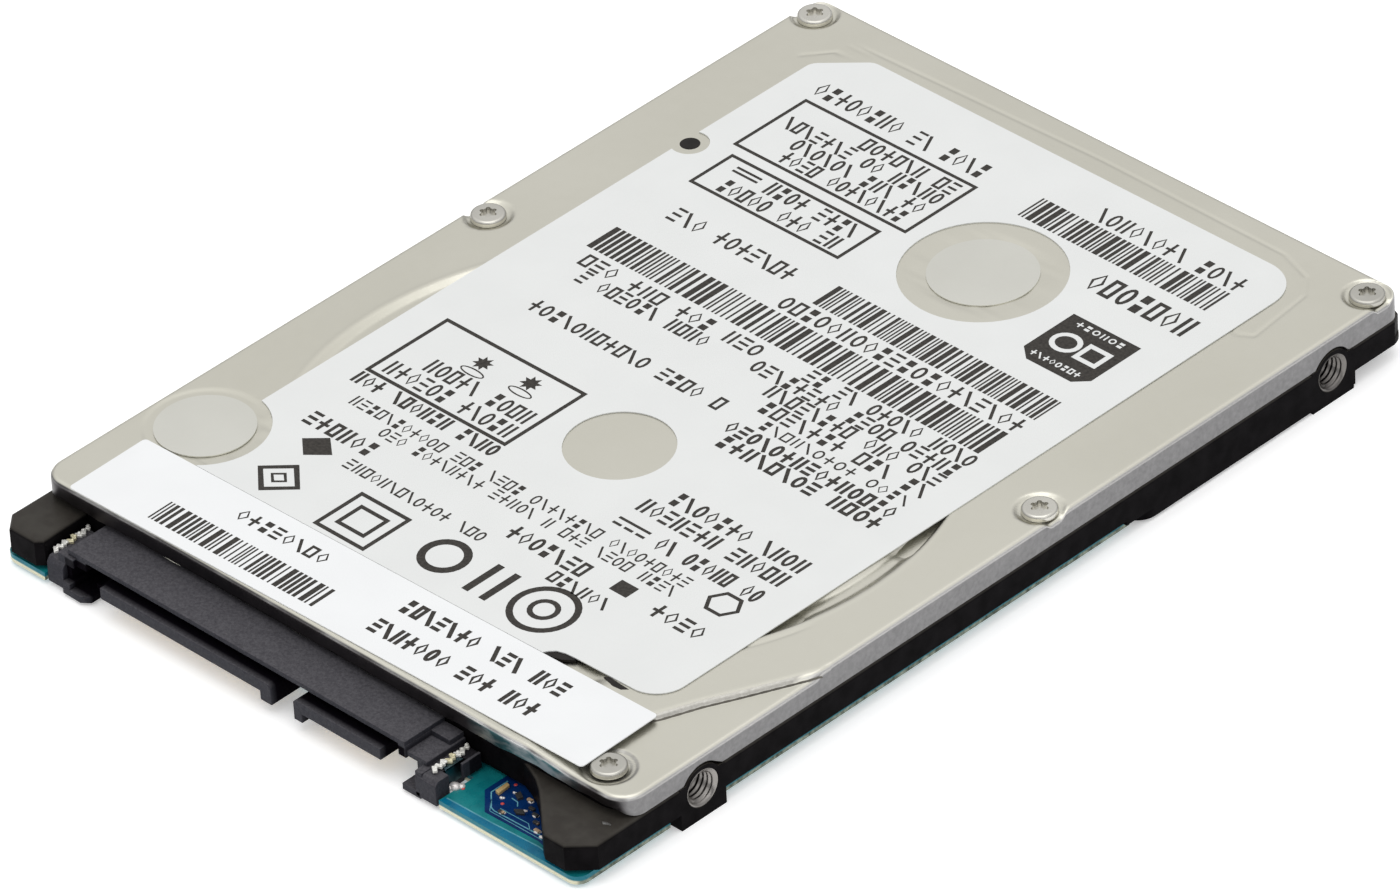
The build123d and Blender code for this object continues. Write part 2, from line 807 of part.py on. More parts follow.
def latch_lever():
    """Inertia latch that catches the coil frame when the drive is jolted."""
    lever = Pos(*LATCH_PIN) * Circle(1.4)
    lever += Pos(LATCH_PIN[0] + 0.8, LATCH_PIN[1] + 2.0) * Rectangle(1.0, 4.0)
    lever += Pos(LATCH_PIN[0] - 0.6, LATCH_PIN[1] - 2.2) * Rectangle(3.2, 2.2)
    lever -= Pos(*LATCH_PIN) * Circle(0.63)
    return block(lever, 3.9, 4.6)


def latch_pin():
    """Pin that the inertia latch turns on."""
    return rod(LATCH_PIN, 0.6, VCM_FLOOR, 5.0) + rod(LATCH_PIN, 1.1, VCM_FLOOR, 3.7)


# ------------------------------------------------------------------ circuit board
def circuit_board():
    """Board under the casting, notched round the near bosses and the motor."""
    plan = outline(
        (BOARD_LEFT, BOARD_NEAR_Y),
        (BOARD_RIGHT, BOARD_NEAR_Y),
        (BOARD_RIGHT, BOARD_FAR_Y),
        (BOARD_LEFT, BOARD_FAR_Y),
    )
    plan = fillet([v for v in plan.vertices() if v.Y < 0], BOARD_CORNER_R)
    for side in (-1, 1):
        plan -= Pos(side * 31.55, HOLE_NEAR_Y) * RectangleRounded(7.5, 6.4, 0.8)
    plan -= Pos(*SPINDLE) * Circle(MOTOR_CUP_R + 0.4)
    gap_low, gap_high = PLUG_GAP_X
    plan -= Pos((gap_low + gap_high) / 2, -48.4) * Rectangle(gap_high - gap_low, 5)
    board = block(plan, BOARD_Z, BOARD_TOP)
    for spot in BOARD_SCREW_SPOTS:
        board -= rod(spot, 0.85, BOARD_Z, BOARD_TOP)
    return board


def board_insulator():
    """Insulating film under the chamber's floor."""
    plan = Pos(*SPINDLE) * Circle(30.0) - Pos(*SPINDLE) * Circle(MOTOR_CUP_R + 0.5)
    plan = plan & (Pos(0, -16) * Rectangle(60, 52))
    return block(plan, FLOOR_LOW - 0.08, FLOOR_LOW)


def board_screws():
    """Screws that hold the board on the casting."""
    screws = []
    for spot in BOARD_SCREW_SPOTS:
        screw = rod(spot, 1.5, 0.05, BOARD_Z) + rod(spot, 0.7, BOARD_Z, 2.0)
        screws.append(screw - six_lobe(spot, 0.05, 0.25))
    return screws


def chip(x, y, sx, sy, height):
    """Flat chip package standing on the board."""
    top = BOARD_TOP + height
    body = box(x - sx / 2, x + sx / 2, y - sy / 2, y + sy / 2, BOARD_TOP, top)
    return body - rod((x - sx / 2 + 0.7, y - sy / 2 + 0.7), 0.25, top - 0.06, top)


CORNER_PARTS = [
    (23.1, -47.75),
    (23.8, -45.1),
    (24.7, -45.8),
    (25.5, -46.2),
    (26.3, -46.9),
    (27.1, -47.6),
    (24.3, -46.8),
]


def board_parts():
    """Rows of small capacitors, resistors and coils on the board."""
    parts = []
    for x, y in CORNER_PARTS:
        parts.append(box(x - 0.3, x + 0.3, y - 0.16, y + 0.16, BOARD_TOP, BOARD_TOP + 0.22))
    for k in range(8):
        parts.append(box(-20.0 + 2.2 * k, -19.0 + 2.2 * k, 3.4, 3.9, BOARD_TOP, BOARD_TOP + 0.5))
        parts.append(box(14.0 + 1.6 * k, 14.6 + 1.6 * k, -30.5, -29.3, BOARD_TOP, BOARD_TOP + 0.5))
    return parts


# ------------------------------------------------------------------ connector
PLATE_X = (-27.35, 13.4)
POWER_TONGUE = (-22.4, -1.83)
SIGNAL_TONGUE = (0.86, 11.27)
GUIDE_X = (-29.5, 17.8)
PLUG_GAP_X = (-29.7, 18.0)


def contact_positions(first, count):
    """Positions of a row of contacts."""
    return [first + CONTACT_PITCH * k for k in range(count)]


def contact(x):
    """One contact: a blade under the tongue with its tail on the board."""
    blade = box(x - 0.4, x + 0.4, -49.4, -45.6, TONGUE_LOW - 0.04, TONGUE_LOW + 0.12)
    leg = box(x - 0.25, x + 0.25, -45.8, -45.6, BOARD_TOP, TONGUE_LOW)
    tail = box(x - 0.25, x + 0.25, -45.8, -43.6, BOARD_TOP, BOARD_TOP + 0.12)
    return blade + leg + tail


def signal_contacts():
    """Seven signal contacts."""
    middle = sum(SIGNAL_TONGUE) / 2 + 0.5
    return [contact(x) for x in contact_positions(middle - 3 * CONTACT_PITCH, 7)]


def power_contacts():
    """Fifteen power contacts."""
    middle = sum(POWER_TONGUE) / 2 - 0.65
    return [contact(x) for x in contact_positions(middle - 7 * CONTACT_PITCH, 15)]


def sata_housing():
    """Moulded plug: top plate, two keyed tongues, side guides and feet."""
    left, right = PLATE_X
    body = box(left, right, -49.1, PLUG_BACK, 3.9, PLATE_TOP)
    body += box(left, right + 2.2, -46.1, PLUG_BACK, 1.5, 3.9)
    body += box(left, left + 2.2, -49.1, PLUG_BACK, 2.7, 3.9)
    body += box(GUIDE_X[0], left, -49.8, -46.0, 0.45, 3.0)
    body += box(GUIDE_X[0], left, -46.1, -44.7, 1.5, 3.0)
    body += box(left - 0.1, -24.3, -HALF_L, -46.0, 0.3, 1.5)
    body += box(left - 0.1, left + 1.4, -49.1, -46.0, 0.45, 3.0)
    body += box(right - 0.9, right, -49.1, PLUG_BACK, 2.7, 3.9)
    body += box(right, 15.8, -49.0, PLUG_BACK, 2.9, 3.4)
    body += box(right + 0.3, 16.0, -HALF_L, -46.0, 0.25, 1.4)
    body += box(15.3, GUIDE_X[1], -HALF_L, -48.4, 0.45, 2.9)
    body += box(15.3, 17.1, -48.5, -46.0, 0.45, 2.9)
    body += box(15.3, GUIDE_X[1], -46.1, -44.7, 1.5, 3.0)
    body += box(right + 1.2, 15.8, -49.0, -46.0, 1.0, 3.4)
    for low, high, leg_low, leg_high in (
        (*POWER_TONGUE, POWER_TONGUE[1] - 1.36, POWER_TONGUE[1]),
        (*SIGNAL_TONGUE, SIGNAL_TONGUE[0], SIGNAL_TONGUE[0] + 1.0),
    ):
        body += box(low, high, TONGUE_FRONT, -46.0, TONGUE_LOW, TONGUE_TOP)
        body += box(leg_low, leg_high, TONGUE_FRONT, -46.0, 1.05, TONGUE_TOP)
    for piece in signal_contacts() + power_contacts():
        body -= piece
    return body


def board_locks():
    """Pressed metal strips at the plug's two ends, toothed along one edge."""
    strips = []
    for x, side, seat in ((-29.3, -1, 3.0), (16.6, 1, 3.0)):
        strip = box(x - 0.42, x + 0.42, -48.6, -44.75, seat, seat + 0.3)
        for k in range(4):
            notch_y = -48.1 + 0.9 * k
            edge = x + side * 0.42
            strip -= box(edge - 0.2, edge + 0.2, notch_y, notch_y + 0.35, seat, seat + 0.3)
        strips.append(strip)
    return strips


# ------------------------------------------------------------------ assembly
def main():
    """Build every sub-part and write it to its own file."""
    os.makedirs("parts", exist_ok=True)
    save("base_casting", base_casting())
    save("top_cover", top_cover())
    save("cover_gasket", cover_gasket())
    save("cover_screws", *cover_screws())
    save("main_label", main_label())
    save("part_label", part_label())
    save("access_seal", access_seal())
    save("pivot_seal", pivot_seal())
    save("pivot_screw", pivot_screw())
    save("breather_filter", breather_filter())
    save("recirculation_filter", recirculation_filter())
    save("desiccant_pack", desiccant_pack())

    save("bearing_sleeve", bearing_sleeve())
    save("thrust_cap", thrust_cap())
    save("stator_core", stator_core())
    save("stator_coils", *stator_coils())
    save("spindle_shaft", spindle_shaft())
    save("rotor_hub", rotor_hub())
    save("rotor_magnet", rotor_magnet())
    save("platter", platter())
    save("disk_clamp", disk_clamp())
    save("clamp_screw", clamp_screw())

    save("pivot_shaft", pivot_shaft())
    save("pivot_inner_races", *pivot_inner_races())
    save("pivot_outer_races", *pivot_outer_races())
    save("pivot_balls", *pivot_balls())
    save("pivot_sleeve", pivot_sleeve())
    save("actuator_arm", actuator_arm())
    save("coil_frame", coil_frame())
    save("voice_coil", voice_coil())
    save("lower_suspension", suspension(3.65, 3.77))
    save("upper_suspension", suspension(4.93, 5.05))
    save("lower_slider", head_slider(3.77, 3.99))
    save("upper_slider", head_slider(4.745, 4.93))
    save("preamp_board", preamp_board())
    save("preamp_chip", preamp_chip())
    save("flex_cable", flex_cable())
    save("flex_bracket", flex_bracket())

    save("lower_yoke", yoke(VCM_FLOOR, 2.5))
    save("upper_yoke", yoke(5.4, 6.0))
    save("lower_magnet", arc_magnet(2.5, 3.5))
    save("upper_magnet", arc_magnet(4.95, 5.4))
    save("yoke_screws", *yoke_screws())
    save("crash_stops", *crash_stops())
    save("load_ramp", load_ramp())
    save("ramp_screw", ramp_screw())
    save("latch_lever", latch_lever())
    save("latch_pin", latch_pin())

    save("circuit_board", circuit_board())
    save("board_insulator", board_insulator())
    save("board_screws", *board_screws())
    save("controller_chip", chip(-18.0, -30.0, 12.0, 12.0, 0.85))
    save("memory_chip", chip(-2.0, -32.0, 8.0, 10.0, 0.8))
    save("motor_driver_chip", chip(20.0, -16.0, 7.0, 7.0, 0.8))
    save("board_parts", *board_parts())
    save("sata_housing", sata_housing())
    save("signal_contacts", *signal_contacts())
    save("power_contacts", *power_contacts())
    save("board_locks", *board_locks())


main()
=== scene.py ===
import json
import math
import random

import bmesh
import bpy
import numpy as np
from mathutils import Matrix, Vector


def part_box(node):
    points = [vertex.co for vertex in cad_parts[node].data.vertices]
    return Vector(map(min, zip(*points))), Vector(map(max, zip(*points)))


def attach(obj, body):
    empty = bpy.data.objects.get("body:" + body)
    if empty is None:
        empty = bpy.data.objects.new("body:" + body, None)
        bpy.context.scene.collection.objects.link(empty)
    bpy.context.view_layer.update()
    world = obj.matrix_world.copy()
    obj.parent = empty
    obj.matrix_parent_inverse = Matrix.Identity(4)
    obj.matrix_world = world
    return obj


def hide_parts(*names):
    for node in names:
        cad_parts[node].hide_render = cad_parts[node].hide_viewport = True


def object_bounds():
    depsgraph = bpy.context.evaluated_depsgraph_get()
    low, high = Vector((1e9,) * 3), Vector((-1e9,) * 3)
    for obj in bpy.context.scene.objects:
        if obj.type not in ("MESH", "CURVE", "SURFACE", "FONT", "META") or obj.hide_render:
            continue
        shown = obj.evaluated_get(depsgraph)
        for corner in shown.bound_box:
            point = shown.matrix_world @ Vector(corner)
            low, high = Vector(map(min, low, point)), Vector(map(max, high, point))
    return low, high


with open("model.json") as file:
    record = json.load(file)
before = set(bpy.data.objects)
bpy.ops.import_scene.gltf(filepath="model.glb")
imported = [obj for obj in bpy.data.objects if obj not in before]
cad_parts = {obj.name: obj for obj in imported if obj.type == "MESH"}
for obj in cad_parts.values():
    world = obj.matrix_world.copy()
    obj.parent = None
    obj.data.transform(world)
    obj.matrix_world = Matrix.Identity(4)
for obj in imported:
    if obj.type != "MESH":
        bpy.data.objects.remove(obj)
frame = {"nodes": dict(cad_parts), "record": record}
CAD_LOW, CAD_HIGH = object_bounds()
MM = 0.001
NODES = frame["nodes"]

# ---------------------------------------------------------------- camera, floor and light

CAMERA_PLACE = Vector((0.5841, -0.5518, 0.5834))
CAMERA_AIM = Vector((0.0016, -0.0045, 0.0040))
CAMERA_ROLL = -3.54
LENS, SENSOR = 299.3, 36.0
SHIFT = (0.011, 0.0024)


def make_camera():
    camera = bpy.data.objects.new("camera", bpy.data.cameras.new("camera"))
    camera.data.lens = LENS
    camera.data.sensor_width = SENSOR
    camera.data.shift_x, camera.data.shift_y = SHIFT
    camera.data.clip_start = 0.01
    camera.data.clip_end = 20.0
    look = (CAMERA_AIM - CAMERA_PLACE).to_track_quat("-Z", "Y").to_matrix()
    turn = look @ Matrix.Rotation(math.radians(CAMERA_ROLL), 3, "Z")
    camera.matrix_world = Matrix.Translation(CAMERA_PLACE) @ turn.to_4x4()
    bpy.context.scene.collection.objects.link(camera)
    bpy.context.scene.camera = camera


def make_floor():
    mesh = bpy.data.meshes.new("floor")
    side = 4.0
    corners = [(-side, -side, 0), (side, -side, 0), (side, side, 0), (-side, side, 0)]
    mesh.from_pydata(corners, [], [(0, 1, 2, 3)])
    floor = bpy.data.objects.new("floor", mesh)
    floor.location.z = CAD_LOW.z
    bpy.context.scene.collection.objects.link(floor)
    paint = Paint("floor_paper", base=(0.93, 0.93, 0.93), rough=0.85, Emission_Strength=0.32)
    paint.bsdf.inputs["Emission Color"].default_value = (1, 1, 1, 1)
    paint.colour(paint.noise(3.0), (0.92, 0.92, 0.92), (0.94, 0.94, 0.94))
    mesh.materials.append(paint.material)


def make_lamp(name, place, aim, size, power, tint=(1, 1, 1)):
    lamp = bpy.data.objects.new(name, bpy.data.lights.new(name, "AREA"))
    lamp.data.shape = "RECTANGLE"
    lamp.data.size, lamp.data.size_y = size
    lamp.data.energy = power
    lamp.data.color = tint
    lamp.location = place
    lamp.rotation_euler = (Vector(aim) - Vector(place)).to_track_quat("-Z", "Y").to_euler()
    bpy.context.scene.collection.objects.link(lamp)


def make_world():
    """Soft daylight, brighter from above."""
    world = bpy.data.worlds.new("studio")
    bpy.context.scene.world = world
    world.use_nodes = True
    tree = world.node_tree
    tree.nodes.clear()
    place = tree.nodes.new("ShaderNodeTexCoord")
    split = tree.nodes.new("ShaderNodeSeparateXYZ")
    ramp = tree.nodes.new("ShaderNodeValToRGB")
    back = tree.nodes.new("ShaderNodeBackground")
    out = tree.nodes.new("ShaderNodeOutputWorld")
    tree.links.new(place.outputs["Generated"], split.inputs[0])
    tree.links.new(split.outputs["Z"], ramp.inputs["Fac"])
    tree.links.new(ramp.outputs["Color"], back.inputs["Color"])
    tree.links.new(back.outputs[0], out.inputs[0])
    low, high = ramp.color_ramp.elements
    low.position, low.color = 0.0, (0.22, 0.22, 0.23, 1)
    high.position, high.color = 0.6, (1.0, 1.0, 1.0, 1)
    ramp.color_ramp.elements.new(0.35).color = (0.62, 0.62, 0.63, 1)
    back.inputs["Strength"].default_value = 1.0
    bpy.context.scene.view_settings.view_transform = "Standard"


# ---------------------------------------------------------------- materials


class Paint:
    """A Principled material whose colour, roughness and bump come from procedural patterns."""

    def __init__(self, name, base=(0.5, 0.5, 0.5), rough=0.5, metal=0.0, **sockets):
        self.material = bpy.data.materials.new(name)
        self.material.use_nodes = True
        self.tree = self.material.node_tree
        self.bsdf = self.tree.nodes["Principled BSDF"]
        self.bsdf.inputs["Base Color"].default_value = (*base, 1)
        self.bsdf.inputs["Roughness"].default_value = rough
        self.bsdf.inputs["Metallic"].default_value = metal
        for socket, value in sockets.items():
            self.bsdf.inputs[socket.replace("_", " ")].default_value = value
        self.place = self.add("ShaderNodeTexCoord").outputs["Object"]

    def add(self, kind, links=(), values=(), **settings):
        node = self.tree.nodes.new(kind)
        for key, value in settings.items():
            setattr(node, key, value)
        for socket, value in dict(values).items():
            node.inputs[socket].default_value = value
        for socket, source in dict(links).items():
            self.tree.links.new(source, node.inputs[socket])
        return node

    def noise(self, scale, detail=4.0, stretch=(1, 1, 1), roughness=0.5):
        """A noise pattern; scale is in features per metre, stretched along the given axes."""
        spread = self.add("ShaderNodeMapping", {"Vector": self.place}, {"Scale": stretch})
        values = {"Scale": scale, "Detail": detail, "Roughness": roughness}
        node = self.add("ShaderNodeTexNoise", {"Vector": spread.outputs[0]}, values)
        return node.outputs["Fac"]

    def cells(self, scale):
        node = self.add("ShaderNodeTexVoronoi", {"Vector": self.place}, {"Scale": scale})
        return node.outputs["Distance"]

    def spread(self, fac, low, high, start=0.0, end=1.0):
        """Maps start..end of a pattern to low..high."""
        values = {"From Min": start, "From Max": end, "To Min": low, "To Max": high}
        return self.add("ShaderNodeMapRange", {"Value": fac}, values).outputs["Result"]

    def blend(self, fac, a, b):
        """Mixes two colours, each a colour or another pattern's colour output."""
        node = self.add("ShaderNodeMix", {"Factor": fac}, data_type="RGBA")
        for socket, value in ((6, a), (7, b)):
            if isinstance(value, tuple):
                node.inputs[socket].default_value = (*value, 1)
            else:
                self.tree.links.new(value, node.inputs[socket])
        return node.outputs[2]

    def maths(self, operation, a, b):
        node = self.add("ShaderNodeMath", operation=operation)
        for socket, value in ((0, a), (1, b)):
            if isinstance(value, (int, float)):
                node.inputs[socket].default_value = value
            else:
                self.tree.links.new(value, node.inputs[socket])
        return node.outputs[0]

    def normal(self, axis):
        """How far the surface faces along an axis, from -1 to 1."""
        source = self.add("ShaderNodeTexCoord").outputs["Normal"]
        split = self.add("ShaderNodeSeparateXYZ", {0: source})
        return split.outputs[axis]

    def position(self, axis):
        split = self.add("ShaderNodeSeparateXYZ", {0: self.place})
        return split.outputs[axis]

    def facing(self, axis, start, end):
        """Mask from 0 to 1 as the surface turns along an axis."""
        return self.spread(self.normal(axis), 0, 1, start, end)

    def along(self, axis, start, end):
        """Mask from 0 to 1 between two places on an axis, in millimetres."""
        return self.spread(self.position(axis), 0, 1, start * MM, end * MM)

    def both(self, a, b):
        return self.maths("MULTIPLY", a, b)

    def either(self, a, b):
        return self.maths("MAXIMUM", a, b)

    def link(self, socket, source):
        self.tree.links.new(source, self.bsdf.inputs[socket])
        return self

    def colour(self, fac, a, b, start=0.35, end=0.65):
        return self.link("Base Color", self.blend(self.spread(fac, 0, 1, start, end), a, b))

    def rough(self, fac, low, high):
        return self.link("Roughness", self.spread(fac, low, high, 0.3, 0.7))

    def bump(self, height, depth):
        """Relief from a pattern, with its depth in micrometres."""
        values = {"Strength": 1.0, "Distance": depth * 1e-6}
        node = self.add("ShaderNodeBump", {"Height": height}, values)
        return self.link("Normal", node.outputs["Normal"])


def metal_paint(name, dark, light, rough, grain, depth, stretch=(1, 1, 1)):
    """Bare metal: slightly uneven tone, drawn or blasted grain, and small scuffs."""
    paint = Paint(name, light, rough, 1.0)
    cloud = paint.noise(90, 5)
    paint.colour(cloud, dark, light)
    fine = paint.noise(grain, 3, stretch)
    paint.rough(paint.noise(240, 6, stretch), rough - 0.06, rough + 0.08)
    return paint.bump(fine, depth)


def plastic_paint(name, dark, light, rough, grain=9000, depth=10, **sockets):
    """Moulded plastic with a fine skin texture and slightly cloudy colour."""
    paint = Paint(name, light, rough, 0.0, **sockets)
    paint.colour(paint.noise(400, 5), dark, light)
    paint.rough(paint.noise(1500, 4), rough - 0.07, rough + 0.07)
    return paint.bump(paint.noise(grain, 2), depth)


def cover_paint():
    """Warm satin plating on top; the sides, edges and slopes carry painted shade, painted highlights and
    painted reflections by which way they face.
    """
    paint = Paint("cover_steel", (0.60, 0.58, 0.51), 0.34, 1.0)
    cloud = paint.spread(paint.noise(45, 5), 0, 1, 0.35, 0.65)
    top = paint.blend(cloud, (0.605, 0.590, 0.515), (0.640, 0.625, 0.550))
    fine = paint.spread(paint.noise(2600, 4), 0, 1, 0.3, 0.7)
    forward = paint.facing("Y", -0.6, -0.9)
    # the sides: painted shade, grey, and near black along the plug and on the front faces
    side = paint.blend(fine, (0.180, 0.178, 0.180), (0.232, 0.229, 0.231))
    front = paint.blend(cloud, (0.040, 0.036, 0.039), (0.075, 0.067, 0.070))
    lip = paint.both(paint.along("Y", -44.2, -44.5), paint.along("Z", 5.4, 5.2))
    side = paint.blend(paint.either(lip, forward), side, front)
    # painted reflection: the board's colours mirrored on the front faces by the near-right corner
    wave = paint.spread(paint.noise(420, 3, (1, 1, 2.5)), 0, 1, 0.42, 0.58)
    glint = paint.blend(wave, (0.05, 0.13, 0.145), (0.34, 0.36, 0.37))
    corner = paint.both(paint.along("X", 16.5, 19.5), paint.along("X", 30.0, 26.5))
    side = paint.blend(paint.both(corner, forward), side, glint)
    # painted highlight on the rolled edge: bright, patchy along the front, dimmer towards the left there
    roll = paint.blend(cloud, (0.56, 0.552, 0.535), (0.67, 0.660, 0.640))
    uneven = paint.spread(paint.noise(170, 3, (1, 0.2, 0.2)), 0, 1, 0.44, 0.58)
    front_roll = paint.blend(paint.along("X", 12.0, 18.0), (0.34, 0.335, 0.33), (0.74, 0.73, 0.715))
    front_roll = paint.blend(uneven, (0.12, 0.115, 0.115), front_roll)
    roll = paint.blend(paint.along("Y", -43.9, -44.3), roll, front_roll)
    # painted shade on the pressed slopes inside the rim, and on the sheet where it leans by the crease
    slope = paint.blend(fine, (0.34, 0.325, 0.30), (0.43, 0.415, 0.385))
    rim = paint.spread(paint.maths("ABSOLUTE", paint.position("X"), 0), 0, 1, 33.8 * MM, 34.1 * MM)
    for start, end in ((-43.7, -44.0), (48.1, 48.4)):
        rim = paint.either(rim, paint.along("Y", start, end))
    near_fold = paint.both(paint.along("X", 26.8, 27.4), paint.along("Y", -22.0, -22.6))
    leaning = paint.both(near_fold, paint.facing("Z", 0.992, 0.95))
    leaning = paint.both(leaning, paint.spread(rim, 1, 0))
    top = paint.blend(leaning, top, paint.blend(fine, (0.36, 0.35, 0.32), (0.45, 0.44, 0.41)))
    slope = paint.blend(near_fold, top, slope)
    roll = paint.blend(rim, slope, roll)
    # tilted faces take the painted highlight of the rolled edge or the painted shade of the slopes
    top = paint.blend(paint.facing("Z", 0.62, 0.80), roll, top)
    paint.link("Base Color", paint.blend(paint.facing("Z", 0.12, 0.42), side, top))
    paint.rough(paint.noise(700, 5), 0.30, 0.40)
    return paint.bump(paint.noise(14000, 2), 1.5)


def casting_paint():
    """Black coating with painted light: lighter and a little browner on its upward faces as if lit, near
    black on its sides as painted shade, and glossier on its upward faces.
    """
    paint = Paint("black_casting", (0.016, 0.0155, 0.014), 0.42, 0.0, Specular_IOR_Level=0.12)
    cloud = paint.spread(paint.noise(600, 6), 0, 1, 0.35, 0.65)
    # painted light: a lit tone for upward faces, painted shade for the sides
    side = paint.blend(cloud, (0.0032, 0.0028, 0.0032), (0.007, 0.0062, 0.007))
    top = paint.blend(cloud, (0.033, 0.029, 0.025), (0.045, 0.041, 0.035))
    paint.link("Base Color", paint.blend(paint.facing("Z", 0.3, 0.8), side, top))
    paint.link("Specular IOR Level", paint.spread(paint.normal("Z"), 0.015, 0.12, 0.3, 0.8))
    paint.rough(paint.noise(900, 5), 0.36, 0.5)
    return paint.bump(paint.noise(11000, 3), 6)


def paper_paint(name, tint):
    """Smooth coated label stock."""
    paint = Paint(name, tint, 0.42, 0.0, Coat_Weight=0.15, Coat_Roughness=0.35)
    darker = tuple(0.975 * c for c in tint)
    paint.colour(paint.noise(160, 6), darker, tint)
    paint.rough(paint.noise(2600, 4), 0.38, 0.5)
    return paint.bump(paint.noise(5000, 4), 2)


def ink_paint():
    paint = Paint("print_ink", (0.04, 0.036, 0.031), 0.55, 0.0, Specular_IOR_Level=0.2)
    paint.colour(paint.noise(3500, 4), (0.026, 0.023, 0.020), (0.048, 0.043, 0.037))
    paint.rough(paint.noise(2600, 3), 0.45, 0.6)
    return paint.bump(paint.noise(9000, 2), 2)


def plug_paint():
    """Grainy grey-black moulding, painted paler on its upward faces as if lit and darker on its sides as
    painted shade.
    """
    paint = Paint("black_plastic", (0.06, 0.056, 0.061), 0.6, 0.0, Specular_IOR_Level=0.15)
    cloud = paint.spread(paint.noise(4200, 5, roughness=0.7), 0, 1, 0.35, 0.65)
    # painted light: a lit tone for the upward faces, painted shade for the sides
    side = paint.blend(cloud, (0.022, 0.022, 0.028), (0.036, 0.036, 0.045))
    top = paint.blend(cloud, (0.046, 0.044, 0.051), (0.088, 0.085, 0.094))
    shade = paint.blend(paint.facing("Z", 0.3, 0.8), side, top)
    # painted shade: the recesses between the tongues and behind the right guide are painted near black and
    # less glossy
    recess_shade = paint.along("Y", -50.0, -49.3)
    for axis, start, end in (("Z", 3.75, 3.65), ("X", -27.5, -27.4), ("X", 13.5, 13.2)):
        recess_shade = paint.both(recess_shade, paint.along(axis, start, end))
    post = paint.along("Y", -46.2, -46.1)
    for axis, start, end in (("Z", 3.05, 3.0), ("X", 15.7, 15.8)):
        post = paint.both(post, paint.along(axis, start, end))
    recess_shade = paint.either(recess_shade, paint.both(post, 0.8))
    black = paint.blend(cloud, (0.002, 0.0015, 0.0025), (0.004, 0.003, 0.005))
    paint.link("Base Color", paint.blend(recess_shade, shade, black))
    paint.link("Specular IOR Level", paint.spread(recess_shade, 0.15, 0.01))
    paint.rough(paint.noise(2500, 4), 0.5, 0.7)
    return paint.bump(paint.noise(6500, 4, roughness=0.7), 30)


def board_paint():
    """Solder mask on the faces with a slightly cloudy tone, and pale laminate on the cut edges."""
    paint = Paint("solder_mask", (0.0, 0.2, 0.22), 0.3, 0.0, Specular_IOR_Level=0.25)
    tone = paint.spread(paint.noise(500, 4), 0, 1, 0.4, 0.6)
    mask = paint.blend(tone, (0.004, 0.145, 0.165), (0.008, 0.20, 0.215))
    face = paint.maths("ABSOLUTE", paint.normal("Z"), 0)
    cream = paint.blend(paint.noise(2500, 4), (0.62, 0.60, 0.42), (0.78, 0.76, 0.58))
    patchy = paint.spread(paint.noise(1800, 5), 0, 1, 0.35, 0.65)
    mottle = paint.blend(patchy, (0.05, 0.07, 0.045), (0.30, 0.34, 0.27))
    laminate = paint.blend(paint.facing("X", 0.6, 0.8), cream, mottle)
    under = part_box("circuit_board")[0].z / MM
    upper = paint.along("Z", under + 0.30, under + 0.42)
    skin = paint.blend(paint.noise(900, 4), (0.0, 0.10, 0.15), (0.01, 0.22, 0.27))
    laminate = paint.blend(upper, laminate, skin)
    flat = paint.spread(face, 0, 1, 0.5, 0.6)
    paint.link("Base Color", paint.blend(flat, laminate, mask))
    paint.rough(paint.noise(1200, 4), 0.22, 0.36)
    return paint.bump(paint.noise(6000, 2), 3)


def coil_paint():
    """Copper with the fine ridges of wound wire."""
    paint = Paint("copper_wire", (0.70, 0.30, 0.15), 0.3, 1.0, Coat_Weight=0.4)
    wave = paint.add("ShaderNodeTexWave", {"Vector": paint.place}, {"Scale": 900.0, "Distortion": 1.5})
    wave.bands_direction = "Z"
    paint.colour(wave.outputs["Fac"], (0.42, 0.16, 0.07), (0.75, 0.34, 0.17))
    paint.rough(paint.noise(1200), 0.25, 0.4)
    return paint.bump(wave.outputs["Fac"], 30)


def disc_paint():
    """Nearly perfect mirror."""
    paint = Paint("mirror_disc", (0.78, 0.77, 0.75), 0.06, 1.0)
    paint.colour(paint.noise(40, 5), (0.74, 0.73, 0.71), (0.80, 0.79, 0.77))
    paint.rough(paint.noise(200, 6), 0.03, 0.09)
    return paint.bump(paint.noise(300, 3), 0.5)


def filter_paint():
    """Matted white fibre."""
    paint = Paint("filter_media", (0.8, 0.8, 0.77), 0.95, 0.0, Sheen_Weight=0.3)
    paint.colour(paint.cells(3500), (0.62, 0.61, 0.57), (0.84, 0.83, 0.80), 0.0, 0.7)
    return paint.bump(paint.noise(4500, 6), 60)


def ceramic_paint():
    """Small board parts: some tan capacitors, some dark resistors."""
    paint = Paint("ceramic_parts", (0.4, 0.3, 0.2), 0.4, 0.0)
    pick = paint.cells(420)
    tan = paint.blend(paint.noise(2500), (0.34, 0.22, 0.13), (0.52, 0.38, 0.24))
    paint.link("Base Color", paint.blend(paint.spread(pick, 0, 1, 0.45, 0.5), tan, (0.03, 0.03, 0.032)))
    paint.rough(paint.noise(1500), 0.3, 0.5)
    return paint.bump(paint.noise(7000), 10)


